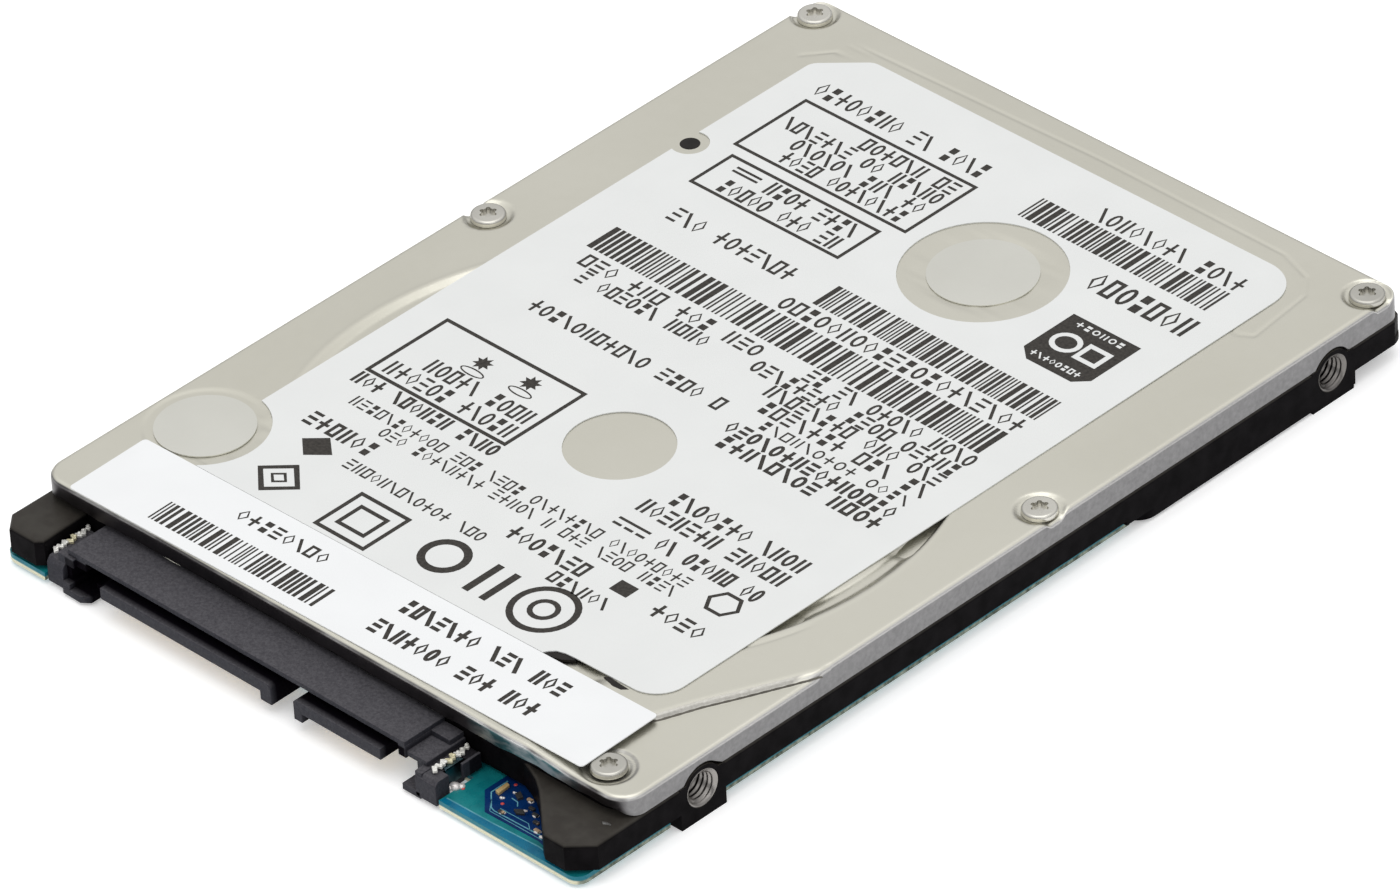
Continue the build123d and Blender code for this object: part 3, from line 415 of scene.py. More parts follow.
# name: dark tone, light tone, roughness, grain per metre, its depth in micrometres, its stretch
METALS = {
    "fold_shade": ((0.085, 0.08, 0.07), (0.15, 0.14, 0.12), 0.6, 9000, 10),
    "screw_steel": ((0.46, 0.45, 0.41), (0.62, 0.605, 0.555), 0.28, 9000, 4),
    "foil": ((0.66, 0.655, 0.60), (0.70, 0.695, 0.64), 0.36, 5000, 3),
    "bearing_bronze": ((0.55, 0.38, 0.18), (0.66, 0.47, 0.24), 0.3, 6000, 5),
    "lamination": ((0.20, 0.20, 0.22), (0.32, 0.32, 0.34), 0.45, 4000, 10, (1, 1, 8)),
    "bright_steel": ((0.62, 0.61, 0.58), (0.74, 0.73, 0.70), 0.2, 8000, 3),
    "aluminium": ((0.70, 0.70, 0.71), (0.82, 0.82, 0.82), 0.3, 7000, 5),
    "magnet_plate": ((0.62, 0.61, 0.58), (0.76, 0.75, 0.71), 0.15, 5000, 3),
    "gold_contact": ((0.74, 0.50, 0.17), (0.86, 0.62, 0.26), 0.22, 7000, 3),
    "tin_plate": ((0.60, 0.60, 0.58), (0.78, 0.78, 0.76), 0.3, 6000, 8),
    # thread_steel: darkened overall as painted shade inside the holes, with its own tone varying at random
    "thread_steel": ((0.05, 0.046, 0.044), (0.40, 0.38, 0.36), 0.28, 5000, 10),
    # painted reflection: the leg's metal carries the board's teal
    "teal_lit_leg": ((0.05, 0.09, 0.12), (0.13, 0.20, 0.22), 0.3, 3000, 10),
}
# name: dark tone, light tone, roughness, then the grain and its depth where they differ
PLASTICS = {
    "gasket_rubber": ((0.01, 0.01, 0.011), (0.02, 0.02, 0.021), 0.75),
    "cream_plastic": ((0.70, 0.64, 0.50), (0.78, 0.72, 0.58), 0.5),
    "flex_film": ((0.46, 0.20, 0.03), (0.62, 0.30, 0.06), 0.25, 3000),
    "stop_rubber": ((0.012, 0.012, 0.012), (0.022, 0.022, 0.022), 0.8),
    "insulating_film": ((0.16, 0.15, 0.13), (0.22, 0.21, 0.18), 0.3, 2500),
    "chip_resin": ((0.016, 0.016, 0.017), (0.026, 0.026, 0.027), 0.6, 12000, 20),
    "pale_gold": ((0.66, 0.60, 0.38), (0.82, 0.77, 0.55), 0.3, 3500, 30),
    "solder": ((0.62, 0.57, 0.55), (0.88, 0.86, 0.84), 0.3, 3500, 30),
    "bright_tin": ((0.70, 0.69, 0.64), (0.90, 0.89, 0.85), 0.28, 3500, 30),
    # painted shade: near black, for the breather's hole and the shadowed hollows under the label's edge
    "hollow_shade": ((0.006, 0.005, 0.004), (0.016, 0.013, 0.011), 0.6),
    "mask_dark": ((0.0, 0.016, 0.085), (0.002, 0.030, 0.135), 0.3),
    "mask_blue": ((0.0, 0.12, 0.22), (0.003, 0.18, 0.30), 0.3),
    "track": ((0.06, 0.26, 0.33), (0.16, 0.42, 0.50), 0.4),
    "ceramic_tan": ((0.40, 0.26, 0.10), (0.62, 0.46, 0.22), 0.4, 6000),
    "red_varnish": ((0.42, 0.03, 0.03), (0.60, 0.06, 0.05), 0.35, 6000),
}
# shader sockets that differ from those of plain plastic
LOW_SHINE = {"Specular_IOR_Level": 0.25}
SOCKETS = {
    "pale_gold": {"Metallic": 0.3},
    "solder": {"Metallic": 0.35},
    "bright_tin": {"Metallic": 0.3},
    "hollow_shade": LOW_SHINE,
    "mask_dark": LOW_SHINE,
    "mask_blue": LOW_SHINE,
    "track": LOW_SHINE,
}


def make_paints():
    paints = {
        "black_casting": casting_paint(),
        "cover_steel": cover_paint(),
        "main_paper": paper_paint("main_paper", (0.735, 0.745, 0.735)),
        "part_paper": paper_paint("part_paper", (0.83, 0.84, 0.845)),
        "print_ink": ink_paint(),
        "filter_media": filter_paint(),
        "copper_wire": coil_paint(),
        "mirror_disc": disc_paint(),
        "black_plastic": plug_paint(),
        "solder_mask": board_paint(),
        "ceramic_parts": ceramic_paint(),
    }
    for name, values in METALS.items():
        paints[name] = metal_paint(name, *values)
    for name, values in PLASTICS.items():
        paints[name] = plastic_paint(name, *values, **SOCKETS.get(name, {}))
    return {name: paint.material for name, paint in paints.items()}


def dress_nodes(paints):
    """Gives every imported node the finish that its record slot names."""
    for thing in NODES.values():
        for entry in thing.material_slots:
            entry.material = paints[entry.material.name.split(".")[0]]


# ---------------------------------------------------------------- pieces and prints


def new_piece(name, verts, faces, material):
    """A piece from corners in millimetres; every added piece rides the chassis."""
    mesh = bpy.data.meshes.new(name)
    mesh.from_pydata([(x * MM, y * MM, z * MM) for x, y, z in verts], [], faces)
    work = bmesh.new()
    work.from_mesh(mesh)
    bmesh.ops.recalc_face_normals(work, faces=work.faces)
    work.to_mesh(mesh)
    work.free()
    mesh.materials.append(material)
    thing = bpy.data.objects.new(name, mesh)
    bpy.context.scene.collection.objects.link(thing)
    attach(thing, "chassis")
    return thing


def skirt(a, b, count):
    """Quads between two closed loops of corners that start at a and b."""
    turns = [(i, (i + 1) % count) for i in range(count)]
    return [(a + i, a + j, b + j, b + i) for i, j in turns]


class Blocks:
    """Closed boxes, prisms and lumps, in millimetres, gathered into one mesh."""

    def __init__(self):
        self.verts, self.faces = [], []

    def prism(self, loop, low, high, axis="z"):
        """An outline in the two other coordinates, swept along an axis."""
        start, n = len(self.verts), len(loop)
        for h in (low, high):
            for a, b in loop:
                self.verts.append({"x": (h, a, b), "y": (a, h, b), "z": (a, b, h)}[axis])
        self.faces.append(tuple(range(start + n - 1, start - 1, -1)))
        self.faces.append(tuple(range(start + n, start + 2 * n)))
        self.faces += skirt(start, start + n, n)

    def box(self, x0, x1, y0, y1, z0, z1):
        self.prism([(x0, y0), (x1, y0), (x1, y1), (x0, y1)], z0, z1)

    def lump(self, x, y, z, rx, ry, rz, sides=14, rings=7):
        """A closed rounded lump."""
        start = len(self.verts)
        self.verts.append((x, y, z + rz))
        for i in range(1, rings):
            wide, high = math.sin(math.pi * i / rings), math.cos(math.pi * i / rings)
            for j in range(sides):
                turn = 2 * math.pi * j / sides
                spot = (x + rx * wide * math.cos(turn), y + ry * wide * math.sin(turn), z + rz * high)
                self.verts.append(spot)
        self.verts.append((x, y, z - rz))
        last = len(self.verts) - 1
        for j in range(sides):
            k = (j + 1) % sides
            self.faces.append((start, start + 1 + j, start + 1 + k))
            self.faces.append((last, last - sides + k, last - sides + j))
        for i in range(rings - 2):
            self.faces += skirt(start + 1 + (i + 1) * sides, start + 1 + i * sides, sides)

    def piece(self, name, material, slot, soft=0.06):
        thing = new_piece(name, self.verts, self.faces, material)
        smooth(thing, 40)
        if soft:
            soften(thing, soft)
        return thing


def smooth(thing, angle):
    """Smooth shading, with a hard edge wherever two faces turn by more than the angle."""
    thing.data.polygons.foreach_set("use_smooth", [True] * len(thing.data.polygons))
    thing.data.set_sharp_from_angle(angle=math.radians(angle))


def soften(thing, width, weld=False):
    """Small bevels on the hard edges, so that they catch the light."""
    if weld:
        join = thing.modifiers.new("join", "WELD")
        join.merge_threshold = 0.000002
    bevel = thing.modifiers.new("edges", "BEVEL")
    bevel.width = width * MM
    bevel.segments = 2
    bevel.limit_method = "ANGLE"
    bevel.angle_limit = math.radians(40)
    bevel.harden_normals = True


class Print(Blocks):
    """Thin closed slabs of ink on a flat label, turned about a centre."""

    def __init__(self, low, high, centre=(0, 0), turn=0.0):
        super().__init__()
        self.low, self.high = low, high
        self.centre, self.turn = centre, math.radians(turn)

    def turned(self, loop):
        x, y = self.centre
        c, s = math.cos(self.turn), math.sin(self.turn)
        return [(x + c * (u - x) - s * (v - y), y + s * (u - x) + c * (v - y)) for u, v in loop]

    def slab(self, loop):
        """A filled outline."""
        self.prism(self.turned(loop), self.low, self.high)

    def band(self, outer, inner):
        """A closed strip between two outlines of as many points."""
        start, n = len(self.verts), len(outer)
        for loop, z in ((outer, self.low), (outer, self.high), (inner, self.high), (inner, self.low)):
            self.verts += [(x, y, z) for x, y in self.turned(loop)]
        for k in range(4):
            self.faces += skirt(start + k * n, start + (k + 1) % 4 * n, n)

    def piece(self, name, material, slot):
        return new_piece(name, self.verts, self.faces, material)

    def stroke(self, a, b, width):
        ax, ay = a
        bx, by = b
        size = math.hypot(bx - ax, by - ay)
        nx, ny = -(by - ay) / size * width / 2, (bx - ax) / size * width / 2
        self.slab([(ax - nx, ay - ny), (bx - nx, by - ny), (bx + nx, by + ny), (ax + nx, ay + ny)])

    def bar(self, x0, x1, y0, y1):
        self.slab([(x0, y0), (x1, y0), (x1, y1), (x0, y1)])

    def frame(self, x0, x1, y0, y1, width):
        w = width / 2
        self.band(
            [(x0 - w, y0 - w), (x1 + w, y0 - w), (x1 + w, y1 + w), (x0 - w, y1 + w)],
            [(x0 + w, y0 + w), (x1 - w, y0 + w), (x1 - w, y1 - w), (x0 + w, y1 - w)],
        )

    def ring(self, x, y, rx, ry, width, sides=20):
        angles = [2 * math.pi * i / sides for i in range(sides)]
        w = width / 2
        self.band(
            [(x + (rx + w) * math.cos(t), y + (ry + w) * math.sin(t)) for t in angles],
            [(x + (rx - w) * math.cos(t), y + (ry - w) * math.sin(t)) for t in angles],
        )

    def diamond(self, x, y, rx, ry, width):
        k = width * 0.7
        self.band(
            [(x + rx, y), (x, y + ry), (x - rx, y), (x, y - ry)],
            [(x + rx - k, y), (x, y + ry - k), (x - rx + k, y), (x, y - ry + k)],
        )

    def mark(self, kind, x, y, wide, high, width):
        """One plain mark of a row, centred on x and y: no letter and no digit."""
        w, h, k = wide / 2, high / 2, width / 2
        if kind == 0:
            self.frame(x - w + k, x + w - k, y - h + k, y + h - k, width)
        elif kind == 1:
            self.ring(x, y, w - k, h - k, width, 14)
        elif kind == 2:
            self.bar(x - k, x + k, y - h, y + h)
            self.bar(x - w, x - k, y - k, y + k)
            self.bar(x + k, x + w, y - k, y + k)
        elif kind == 3:
            for level in (y - h + k, y, y + h - k):
                self.stroke((x - w, level), (x + w, level), width)
        elif kind == 4:
            self.diamond(x, y, w, h, width)
        elif kind == 5:
            for side in (x - w * 0.6, x + w * 0.6):
                self.stroke((side, y - h), (side, y + h), width)
        elif kind == 6:
            self.stroke((x + w, y - h), (x - w, y + h), width)
        else:
            self.bar(x - w * 0.7, x + w * 0.7, y - h, y - h * 0.2)
            self.bar(x - w * 0.7, x + w * 0.7, y + h * 0.2, y + h)

    def row(self, start, end, y, high, words, width=0.22, seed=1):
        """A row of marks from start to end, in groups as long as words says."""
        chance = random.Random(seed)
        pitch = (end - start) / (sum(words) + len(words) - 1 - 0.25)
        x = start + pitch * 0.38
        last = -1
        for count in words:
            for _ in range(count):
                kind = chance.choice([k for k in range(8) if k != last])
                last = kind
                self.mark(kind, x, y, abs(pitch) * 0.78, high, width * 1.2)
                x += pitch
            x += pitch

    def bars(self, x0, x1, y0, y1, unit, seed):
        """A block of plain bars with random widths and gaps."""
        chance = random.Random(seed)
        x = x0
        while x < x1 - unit:
            wide = unit * chance.choice((0.8, 0.8, 0.9, 1.6, 1.7, 2.5))
            wide = min(wide, x1 - x)
            self.bar(x, x + wide, y0, y1)
            x += wide + unit * chance.choice((0.8, 0.9, 1.0, 1.7))


INK_BELOW, INK_ABOVE = 0.004, 0.010
# start, end, place across, height of a mark, groups, stroke, seed
MAIN_ROWS = (
    (-4.3, -24.6, 38.95, 2.1, (4, 2, 8), 0.24, 11),
    (-5.0, -19.6, 29.35, 1.8, (8, 4), 0.24, 12),
    (-4.6, -20.2, 31.35, 1.8, (2, 3, 6), 0.24, 13),
    (-4.4, -23.1, 33.35, 1.8, (5, 2, 7), 0.24, 14),
    (-4.4, -15.6, 35.35, 1.8, (2, 6), 0.24, 15),
    (-6.6, -20.6, 22.75, 1.95, (2, 3, 5), 0.25, 16),
    (-6.6, -17.2, 25.1, 1.95, (4, 4), 0.25, 17),
    (-6.2, -20.8, 16.9, 2.0, (7, 3), 0.25, 18),
    (24.0, -4.3, 13.6, 1.9, (20,), 0.25, 21),
    (24.5, 5.9, -4.35, 1.75, (4, 8), 0.30, 22),
    (24.4, 4.9, -2.4, 1.75, (15,), 0.30, 23),
    (24.2, 7.0, -0.45, 1.25, (4, 9), 0.16, 24),
    (24.4, 5.2, 1.5, 1.75, (2, 3, 7), 0.24, 25),
    (24.2, 3.9, 3.5, 1.75, (3, 3, 8), 0.24, 26),
    (24.2, 0.4, 5.35, 1.75, (5, 4, 8), 0.24, 27),
    (24.4, 4.9, 7.25, 1.75, (4, 5, 2, 2), 0.24, 28),
    (-0.4, -21.8, 6.9, 1.75, (3, 3, 3, 3), 0.24, 29),
    (-4.9, -20.2, 4.95, 1.75, (4, 6, 1), 0.24, 30),
    (2.6, -20.4, -0.7, 1.75, (1, 4, 11), 0.24, 31),
    (24.3, 7.4, 40.9, 2.0, (4, 8), 0.24, 33),
    (25.2, 13.7, 33.3, 2.7, (7,), 0.34, 34),
    (-8.2, -23.2, -15.2, 1.95, (5, 6), 0.24, 35),
    (-8.4, -20.7, -12.8, 1.95, (4, 5), 0.24, 36),
    (-7.2, -24.3, -18.0, 1.7, (4, 6, 3), 0.27, 37),
    (18.2, -16.8, -22.25, 1.35, (4, 4, 3, 1, 5, 8, 3), 0.16, 38),
    (18.2, -22.0, -20.6, 1.35, (9, 8, 4, 3, 11), 0.16, 39),
    (-15.2, -23.1, -24.75, 1.9, (6,), 0.30, 40),
    (0.7, -15.8, -27.3, 1.35, (3, 12), 0.17, 42),
    (10.6, 1.6, -25.0, 1.9, (7,), 0.28, 43),
    (15.3, 8.6, -27.2, 1.5, (6,), 0.22, 44),
    (24.1, 18.4, -24.9, 1.8, (4,), 0.28, 45),
    (24.1, 12.2, -18.1, 1.9, (2, 5, 2), 0.27, 46),
    (24.1, 7.3, -15.15, 1.9, (5, 7), 0.27, 47),
    (24.1, 8.8, -12.75, 1.9, (4, 7), 0.27, 48),
)
# left, right, near, far, thinnest bar, seed
MAIN_BARS = (
    (-23.0, 24.2, 8.45, 12.2, 0.25, 19),
    (-2.15, 24.25, 15.05, 18.4, 0.22, 20),
    (2.15, 24.15, 36.15, 39.45, 0.24, 32),
)
# left, right, near, far, stroke
MAIN_FRAMES = (
    (-24.05, -3.45, 27.95, 36.8, 0.36),
    (-23.0, -5.2, 21.35, 26.5, 0.36),
    (-24.2, -7.5, -16.75, -7.2, 0.40),
    (-11.6, -5.9, -35.0, -29.6, 0.42),
    (-10.3, -7.2, -33.7, -30.9, 0.42),
)
# centre, two radii, stroke, sides
MAIN_RINGS = (
    (0.0, -31.2, 2.0, 2.0, 0.75, 28),
    (11.6, -31.0, 2.9, 2.9, 0.62, 32),
    (11.6, -31.0, 1.2, 1.2, 0.5, 20),
    (22.4, -20.7, 1.6, 1.5, 0.42, 6),
)
# centre, two half widths, stroke
MAIN_DIAMONDS = (
    (-18.6, -32.6, 2.6, 2.4, 0.95),
    (-18.6, -32.6, 1.0, 0.9, 0.5),
)
# start, end, stroke
MAIN_STROKES = (
    ((-18.4, 24.9), (-21.4, 24.9), 0.28),
    ((-18.4, 25.5), (-21.4, 25.5), 0.28),
    ((4.6, -33.4), (4.6, -29.0), 0.75),
    ((6.6, -33.4), (6.6, -29.0), 0.75),
    ((10.9, -17.7), (7.2, -17.7), 0.3),
)


def main_print(top):
    """Rows of marks, bars, frames and plain signs on the large label."""
    p = Print(top - INK_BELOW, top + INK_ABOVE)
    for draw, table in (
        (p.row, MAIN_ROWS),
        (p.bars, MAIN_BARS),
        (p.frame, MAIN_FRAMES),
        (p.ring, MAIN_RINGS),
        (p.diamond, MAIN_DIAMONDS),
        (p.stroke, MAIN_STROKES),
    ):
        for values in table:
            draw(*values)
    p.slab([(16.0, 22.3), (16.0, 28.55), (23.85, 28.55), (23.85, 22.3), (22.6, 21.1), (17.4, 21.1)])
    for x, y, radius in ((-12.1, -9.1, 1.05), (-17.3, -9.7, 1.0)):
        star = []
        for i in range(16):
            r = radius * (1.0 if i % 2 else 0.55)
            star.append((x + r * math.cos(i * math.pi / 8), y + r * math.sin(i * math.pi / 8)))
        p.slab(star)
        p.ring(x + 0.2, y - 1.5, 1.3, 0.42, 0.16)
    p.slab([(-21.2, -27.4), (-19.4, -29.0), (-17.5, -27.4), (-19.4, -25.8)])
    p.bar(13.6, 15.6, -25.4, -23.8)
    for k in range(3):
        p.stroke((10.9 - 1.35 * k, -18.5), (9.9 - 1.35 * k, -18.5), 0.3)
    return p


def part_print(top):
    """Bars and rows of marks on the label by the plug, which is stuck on a little askew."""
    p = Print(top - INK_BELOW, top + INK_ABOVE, (-1.1, -40.1), 1.1)
    p.bars(-23.0, -3.2, -43.35, -40.5, 0.22, 51)
    p.row(-7.0, -17.4, -37.95, 1.55, (8,), 0.24, 52)
    p.row(21.0, 2.4, -38.2, 1.9, (3, 3, 7), 0.34, 53)
    p.row(21.0, 2.2, -41.7, 1.9, (3, 3, 7), 0.34, 54)
    return p


def make_prints(paints):
    """What is printed on both labels, with a dark badge that carries white marks."""
    label_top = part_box("main_label")[1].z / MM
    part_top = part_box("part_label")[1].z / MM
    main_print(label_top).piece("main_label_print", paints["print_ink"], "print_ink")
    part_print(part_top).piece("part_label_print", paints["print_ink"], "print_ink")
    white = Print(label_top + 0.006, label_top + 0.016)
    white.ring(18.4, 25.0, 1.3, 1.15, 0.5, 20)
    white.frame(20.4, 22.6, 24.0, 26.0, 0.5)
    white.row(22.6, 17.2, 27.7, 0.75, (6,), 0.13, 61)
    white.row(22.6, 17.0, 22.2, 0.75, (8,), 0.13, 62)
    white.piece("badge_print", paints["main_paper"], "main_paper")


# ---------------------------------------------------------------- the cover as a pressed sheet

SIDE_X, FAR_Y = 34.85, 49.5
NEAR_CORNER_R, FAR_CORNER_R = 2.4, 1.6
TOP_Z, SHEET, ROLL = 6.75, 0.5, 0.45
INNER_STEP = 6
SPINDLE, PIVOT, SEAL, BREATHER = (0.0, -10.5), (5.8, 28.0), (-28.84, -31.5), (-27.25, 25.5)
RAISED_SCREWS = [(-32.98, 47.11), (32.98, 47.11), (-32.94, 6.29), (32.94, 6.29)]
SUNK_SCREW = (30.27, -42.08)
HOLE_ROWS = (-36.1, 40.5)
SIDE_HOLE_Z = 3.0
CREASE_Y = [-46.0, -38.6, -34.95, -31.33, -28.68, -24.34, -21.8]
FOLD_START = -38.6
CREASE_X = [26.0, 26.6, 29.0, 30.5, 31.85, 33.95, 35.1]
FAR_LINE = [(-29.5, 41.7), (-26.2, 45.6), (-25.3, 46.2), (1.7, 47.15), (23.6, 46.9), (27.35, 45.6),
            (29.06, 43.5), (29.8, 36.3), (28.6, 35.6), (27.6, 35.6)]


def ease(x, start, end):
    """Smooth rise from 0 to 1."""
    t = np.clip((x - start) / (end - start), 0, 1)
    return t * t * (3 - 2 * t)


def ramp(x, start, end):
    """Straight rise from 0 to 1."""
    return np.clip((x - start) / (end - start), 0, 1)


def near_edge(x):
    """The cover's near edge, which runs back a little from left to right."""
    return -45.25 + 0.2 * ease(x, -33.0, -18.0) + 0.15 * ease(x, 20.0, 24.4)


def edge_distance(x, y):
    """Distance inside the cover's outline."""
    dx = SIDE_X - np.abs(x)
    dy = np.minimum(y - near_edge(x), FAR_Y - y)
    radius = np.where(y > 0, FAR_CORNER_R, NEAR_CORNER_R)
    corner = radius - np.hypot(radius - dx, radius - dy)
    return np.where((dx < radius) & (dy < radius), corner, np.minimum(dx, dy))


def line_distance(x, y, points):
    best = np.full(x.shape, 1e3)
    for (ax, ay), (bx, by) in zip(points, points[1:]):
        ux, uy = bx - ax, by - ay
        t = np.clip(((x - ax) * ux + (y - ay) * uy) / (ux * ux + uy * uy), 0, 1)
        best = np.minimum(best, np.hypot(x - ax - t * ux, y - ay - t * uy))
    return best


def crease_offset(x, y):
    """Distance past the crease, positive on the lowered side."""
    line = np.interp(y, CREASE_Y, CREASE_X)
    slope = (np.interp(y + 0.5, CREASE_Y, CREASE_X) - np.interp(y - 0.5, CREASE_Y, CREASE_X))
    past = (x - line) / np.sqrt(1 + slope * slope)
    return np.where(y > CREASE_Y[-1] + 1.0, -9.0, past)


def cover_height(x, y):
    """Height of the pressed sheet's outer face, without the rolled edge."""
    z = TOP_Z - 0.012 * (1 + np.sin(0.16 * x + 0.9) * np.cos(0.12 * y - 0.4))
    radius = np.hypot(x - SPINDLE[0], y - SPINDLE[1])
    angle = np.degrees(np.arctan2(y - SPINDLE[1], x - SPINDLE[0]))
    z -= 0.38 * ramp(radius, 27.55, 28.1) * (1 - ramp(radius, 29.15, 29.85))
    z += 0.02 * np.exp(-((radius - 30.15) / 0.15) ** 2)
    window = ramp(angle, -27, -24) * (1 - ramp(angle, -15, -12))
    window += ramp(angle, 8, 11) * (1 - ramp(angle, 24, 27))
    z -= 0.30 * window * ramp(radius, 27.9, 28.3) * (1 - ramp(radius, 29.5, 29.9))
    outer_line = ramp(angle, -40, -33) * (1 - ramp(angle, -17, -13))
    z -= 0.04 * np.exp(-((radius - 30.75) / 0.14) ** 2) * outer_line
    flare = ramp(angle, -59, -56.5) * (1 - ramp(angle, -48.5, -46)) * ramp(radius, 28.9, 29.3)
    z -= 0.35 * flare * (1 - ramp(radius, 32.2, 33.3))
    soft = 1 - ease(y, -44.5, -38.2)
    past = (crease_offset(x, y) - 3.1 * soft) / (1 + 17 * soft)
    z -= 0.06 * ramp(past, -0.75, -0.45) + 0.39 * ramp(past, -0.34, -0.02)
    z -= 0.045 * np.exp(-(line_distance(x, y, FAR_LINE) / 0.16) ** 2)
    for spot, depth in ((SEAL, 0.075), (PIVOT, 0.065)):
        away = np.hypot(x - spot[0], y - spot[1])
        z -= depth * (1 - ramp(away, 5.25, 5.5))
    for side in (-1, 1):
        for spot in RAISED_SCREWS:
            if spot[0] * side > 0:
                away = np.hypot(x - spot[0], y - spot[1])
                dish = 6.42 + 0.34 * ramp(away, 1.95, 2.25) + 9 * (away > 2.25)
                z = np.minimum(z, dish)
                z -= 0.16 * ramp(x * side - 33.9, 0, 0.5) * (1 - ramp(np.abs(y - spot[1]), 0.7, 1.1))
    away = np.hypot(x - SUNK_SCREW[0], y - SUNK_SCREW[1])
    z = np.minimum(z, 6.02 + 0.12 * ramp(away, 1.75, 1.95) + 0.16 * ramp(away, 2.2, 2.5) + 9 * (away > 2.5))
    return z


def rolled(distance):
    """Drop of the rolled edge at a distance from the outline."""
    inside = np.clip(ROLL - distance, 0, ROLL)
    return ROLL - np.sqrt(ROLL * ROLL - inside * inside)


def flange_bottom(x, y):
    """Lower edge of the skirt: arched over the side threads, higher along the connector."""
    z = np.full(x.shape, 4.25)
    for hole in HOLE_ROWS:
        arch = SIDE_HOLE_Z + np.sqrt(np.clip(2.42 ** 2 - (y - hole) ** 2, 0, None))
        z = np.where(np.abs(x) > SIDE_X - 0.3, np.maximum(z, np.where(np.abs(y - hole) < 2.42, arch, 0)), z)
    front = 5.02 + 0.05 * np.sin(0.8 * x + 1.0) + 0.04 * np.sin(2.1 * x) + 0.10 * ease(x, 18, 22)
    near = 1 - ease(y - near_edge(x), 0.2, 1.9)
    return z + (front - z) * near * (1 - ease(np.abs(x), 33.2, 34.6) * 0.6)


def spaced(*runs):
    """Positions from (end, step) runs after a first start."""
    places = [runs[0]]
    for end, step in runs[1:]:
        count = max(1, round((end - places[-1]) / step))
        start = places[-1]
        places += [start + (end - start) * (i + 1) / count for i in range(count)]
    return np.array(places)


def make_cover(paint):
    """The cover as one closed sheet: a fine grid on top, a skirt, and a coarser inner face."""
    edge = [SIDE_X - d for d in (0.0, 0.015, 0.05, 0.10, 0.17, 0.25, 0.34, 0.44, 0.56, 0.72, 0.90)]
    inner = spaced(-33.95, (-27.4, 0.16), (-14.0, 1.2), (14.0, 1.5), (26.0, 0.32), (33.95, 0.16))
    columns = np.array([-v for v in edge] + list(inner[1:-1]) + edge[::-1])
    length = FAR_Y + 45.05
    rim = [0.0, 0.01, 0.04, 0.09, 0.16, 0.24, 0.34, 0.44, 0.56, 0.72, 0.90]
    rows = spaced(0.90, (11.6, 0.17), (94.0 - 6.2, 0.26), (length - 0.90, 0.16))
    rows = np.array(rim + list(rows[1:-1]) + [length - v for v in rim[::-1]])
    q, c = np.meshgrid(rows, columns, indexing="ij")
    dy = np.minimum(q, length - q)
    radius = np.where(2 * q > length, FAR_CORNER_R, NEAR_CORNER_R)
    short = radius - np.minimum(dy, radius)
    limit = SIDE_X - radius + np.sqrt(radius ** 2 - short ** 2)
    x = c * limit / SIDE_X
    near = near_edge(x)
    y = near + q * (FAR_Y - near) / length
    z = cover_height(x, y) - rolled(edge_distance(x, y))
    n_rows, n_cols = x.shape
    verts = np.stack([x, y, z], axis=-1).reshape(-1, 3).tolist()
    faces = []
    for j in range(n_rows - 1):
        for i in range(n_cols - 1):
            a = j * n_cols + i
            faces.append((a, a + 1, a + n_cols + 1, a + n_cols))
    loop = list(range(n_cols)) + [j * n_cols + n_cols - 1 for j in range(1, n_rows)]
    loop += [(n_rows - 1) * n_cols + i for i in range(n_cols - 2, -1, -1)]
    loop += [j * n_cols for j in range(n_rows - 2, 0, -1)]
    outer = np.array([verts[k] for k in loop])
    bottom = flange_bottom(outer[:, 0], outer[:, 1])
    last, levels, count = loop, 6, len(loop)
    for level in range(1, levels + 1):
        share = level / levels
        start = len(verts)
        verts += [(p[0], p[1], p[2] + (b - p[2]) * share) for p, b in zip(outer, bottom)]
        ring = list(range(start, start + count))
        for k in range(count):
            m = (k + 1) % count
            faces.append((last[m], last[k], ring[k], ring[m]))
        last = ring
    # the inner face, on fewer rows and columns
    few_rows = sorted(set(range(0, n_rows, INNER_STEP)) | {n_rows - 1})
    few_cols = sorted(set(range(0, n_cols, INNER_STEP)) | {n_cols - 1})
    start = len(verts)
    index = {}
    for j in few_rows:
        for i in few_cols:
            px, py = x[j, i] * (1 - SHEET / SIDE_X), 2 + (y[j, i] - 2) * (1 - SHEET / 47.2)
            low = crease_offset(np.array([px]), np.array([py]))[0] > -1.6
            index[(j, i)] = len(verts)
            verts.append((px, py, TOP_Z - SHEET - 0.03 - (0.45 if low else 0)))
    for j, jj in zip(few_rows, few_rows[1:]):
        for i, ii in zip(few_cols, few_cols[1:]):
            faces.append((index[j, i], index[jj, i], index[jj, ii], index[j, ii]))
    keys = [(0, i) for i in few_cols] + [(j, n_cols - 1) for j in few_rows[1:]]
    keys += [(n_rows - 1, i) for i in few_cols[-2::-1]] + [(j, 0) for j in few_rows[-2:0:-1]]
    place = {k: n for n, k in enumerate(loop)}
    spots = [place[j * n_cols + i] for j, i in keys]
    foot = len(verts)
    for key, spot in zip(keys, spots):
        vx, vy, _ = verts[index[key]]
        verts.append((vx, vy, float(bottom[spot])))
    for n in range(len(keys)):
        m = (n + 1) % len(keys)
        a, b = index[keys[n]], index[keys[m]]
        faces.append((a, b, foot + m, foot + n))
        end = spots[m] if spots[m] > spots[n] else count
        outside = [last[k % count] for k in range(spots[n], end + 1)]
        faces.append(tuple([foot + n, foot + m] + outside[::-1]))
    piece = new_piece("cover_shell", verts, faces, paint)
    smooth(piece, 50)
    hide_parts("top_cover")
    return piece


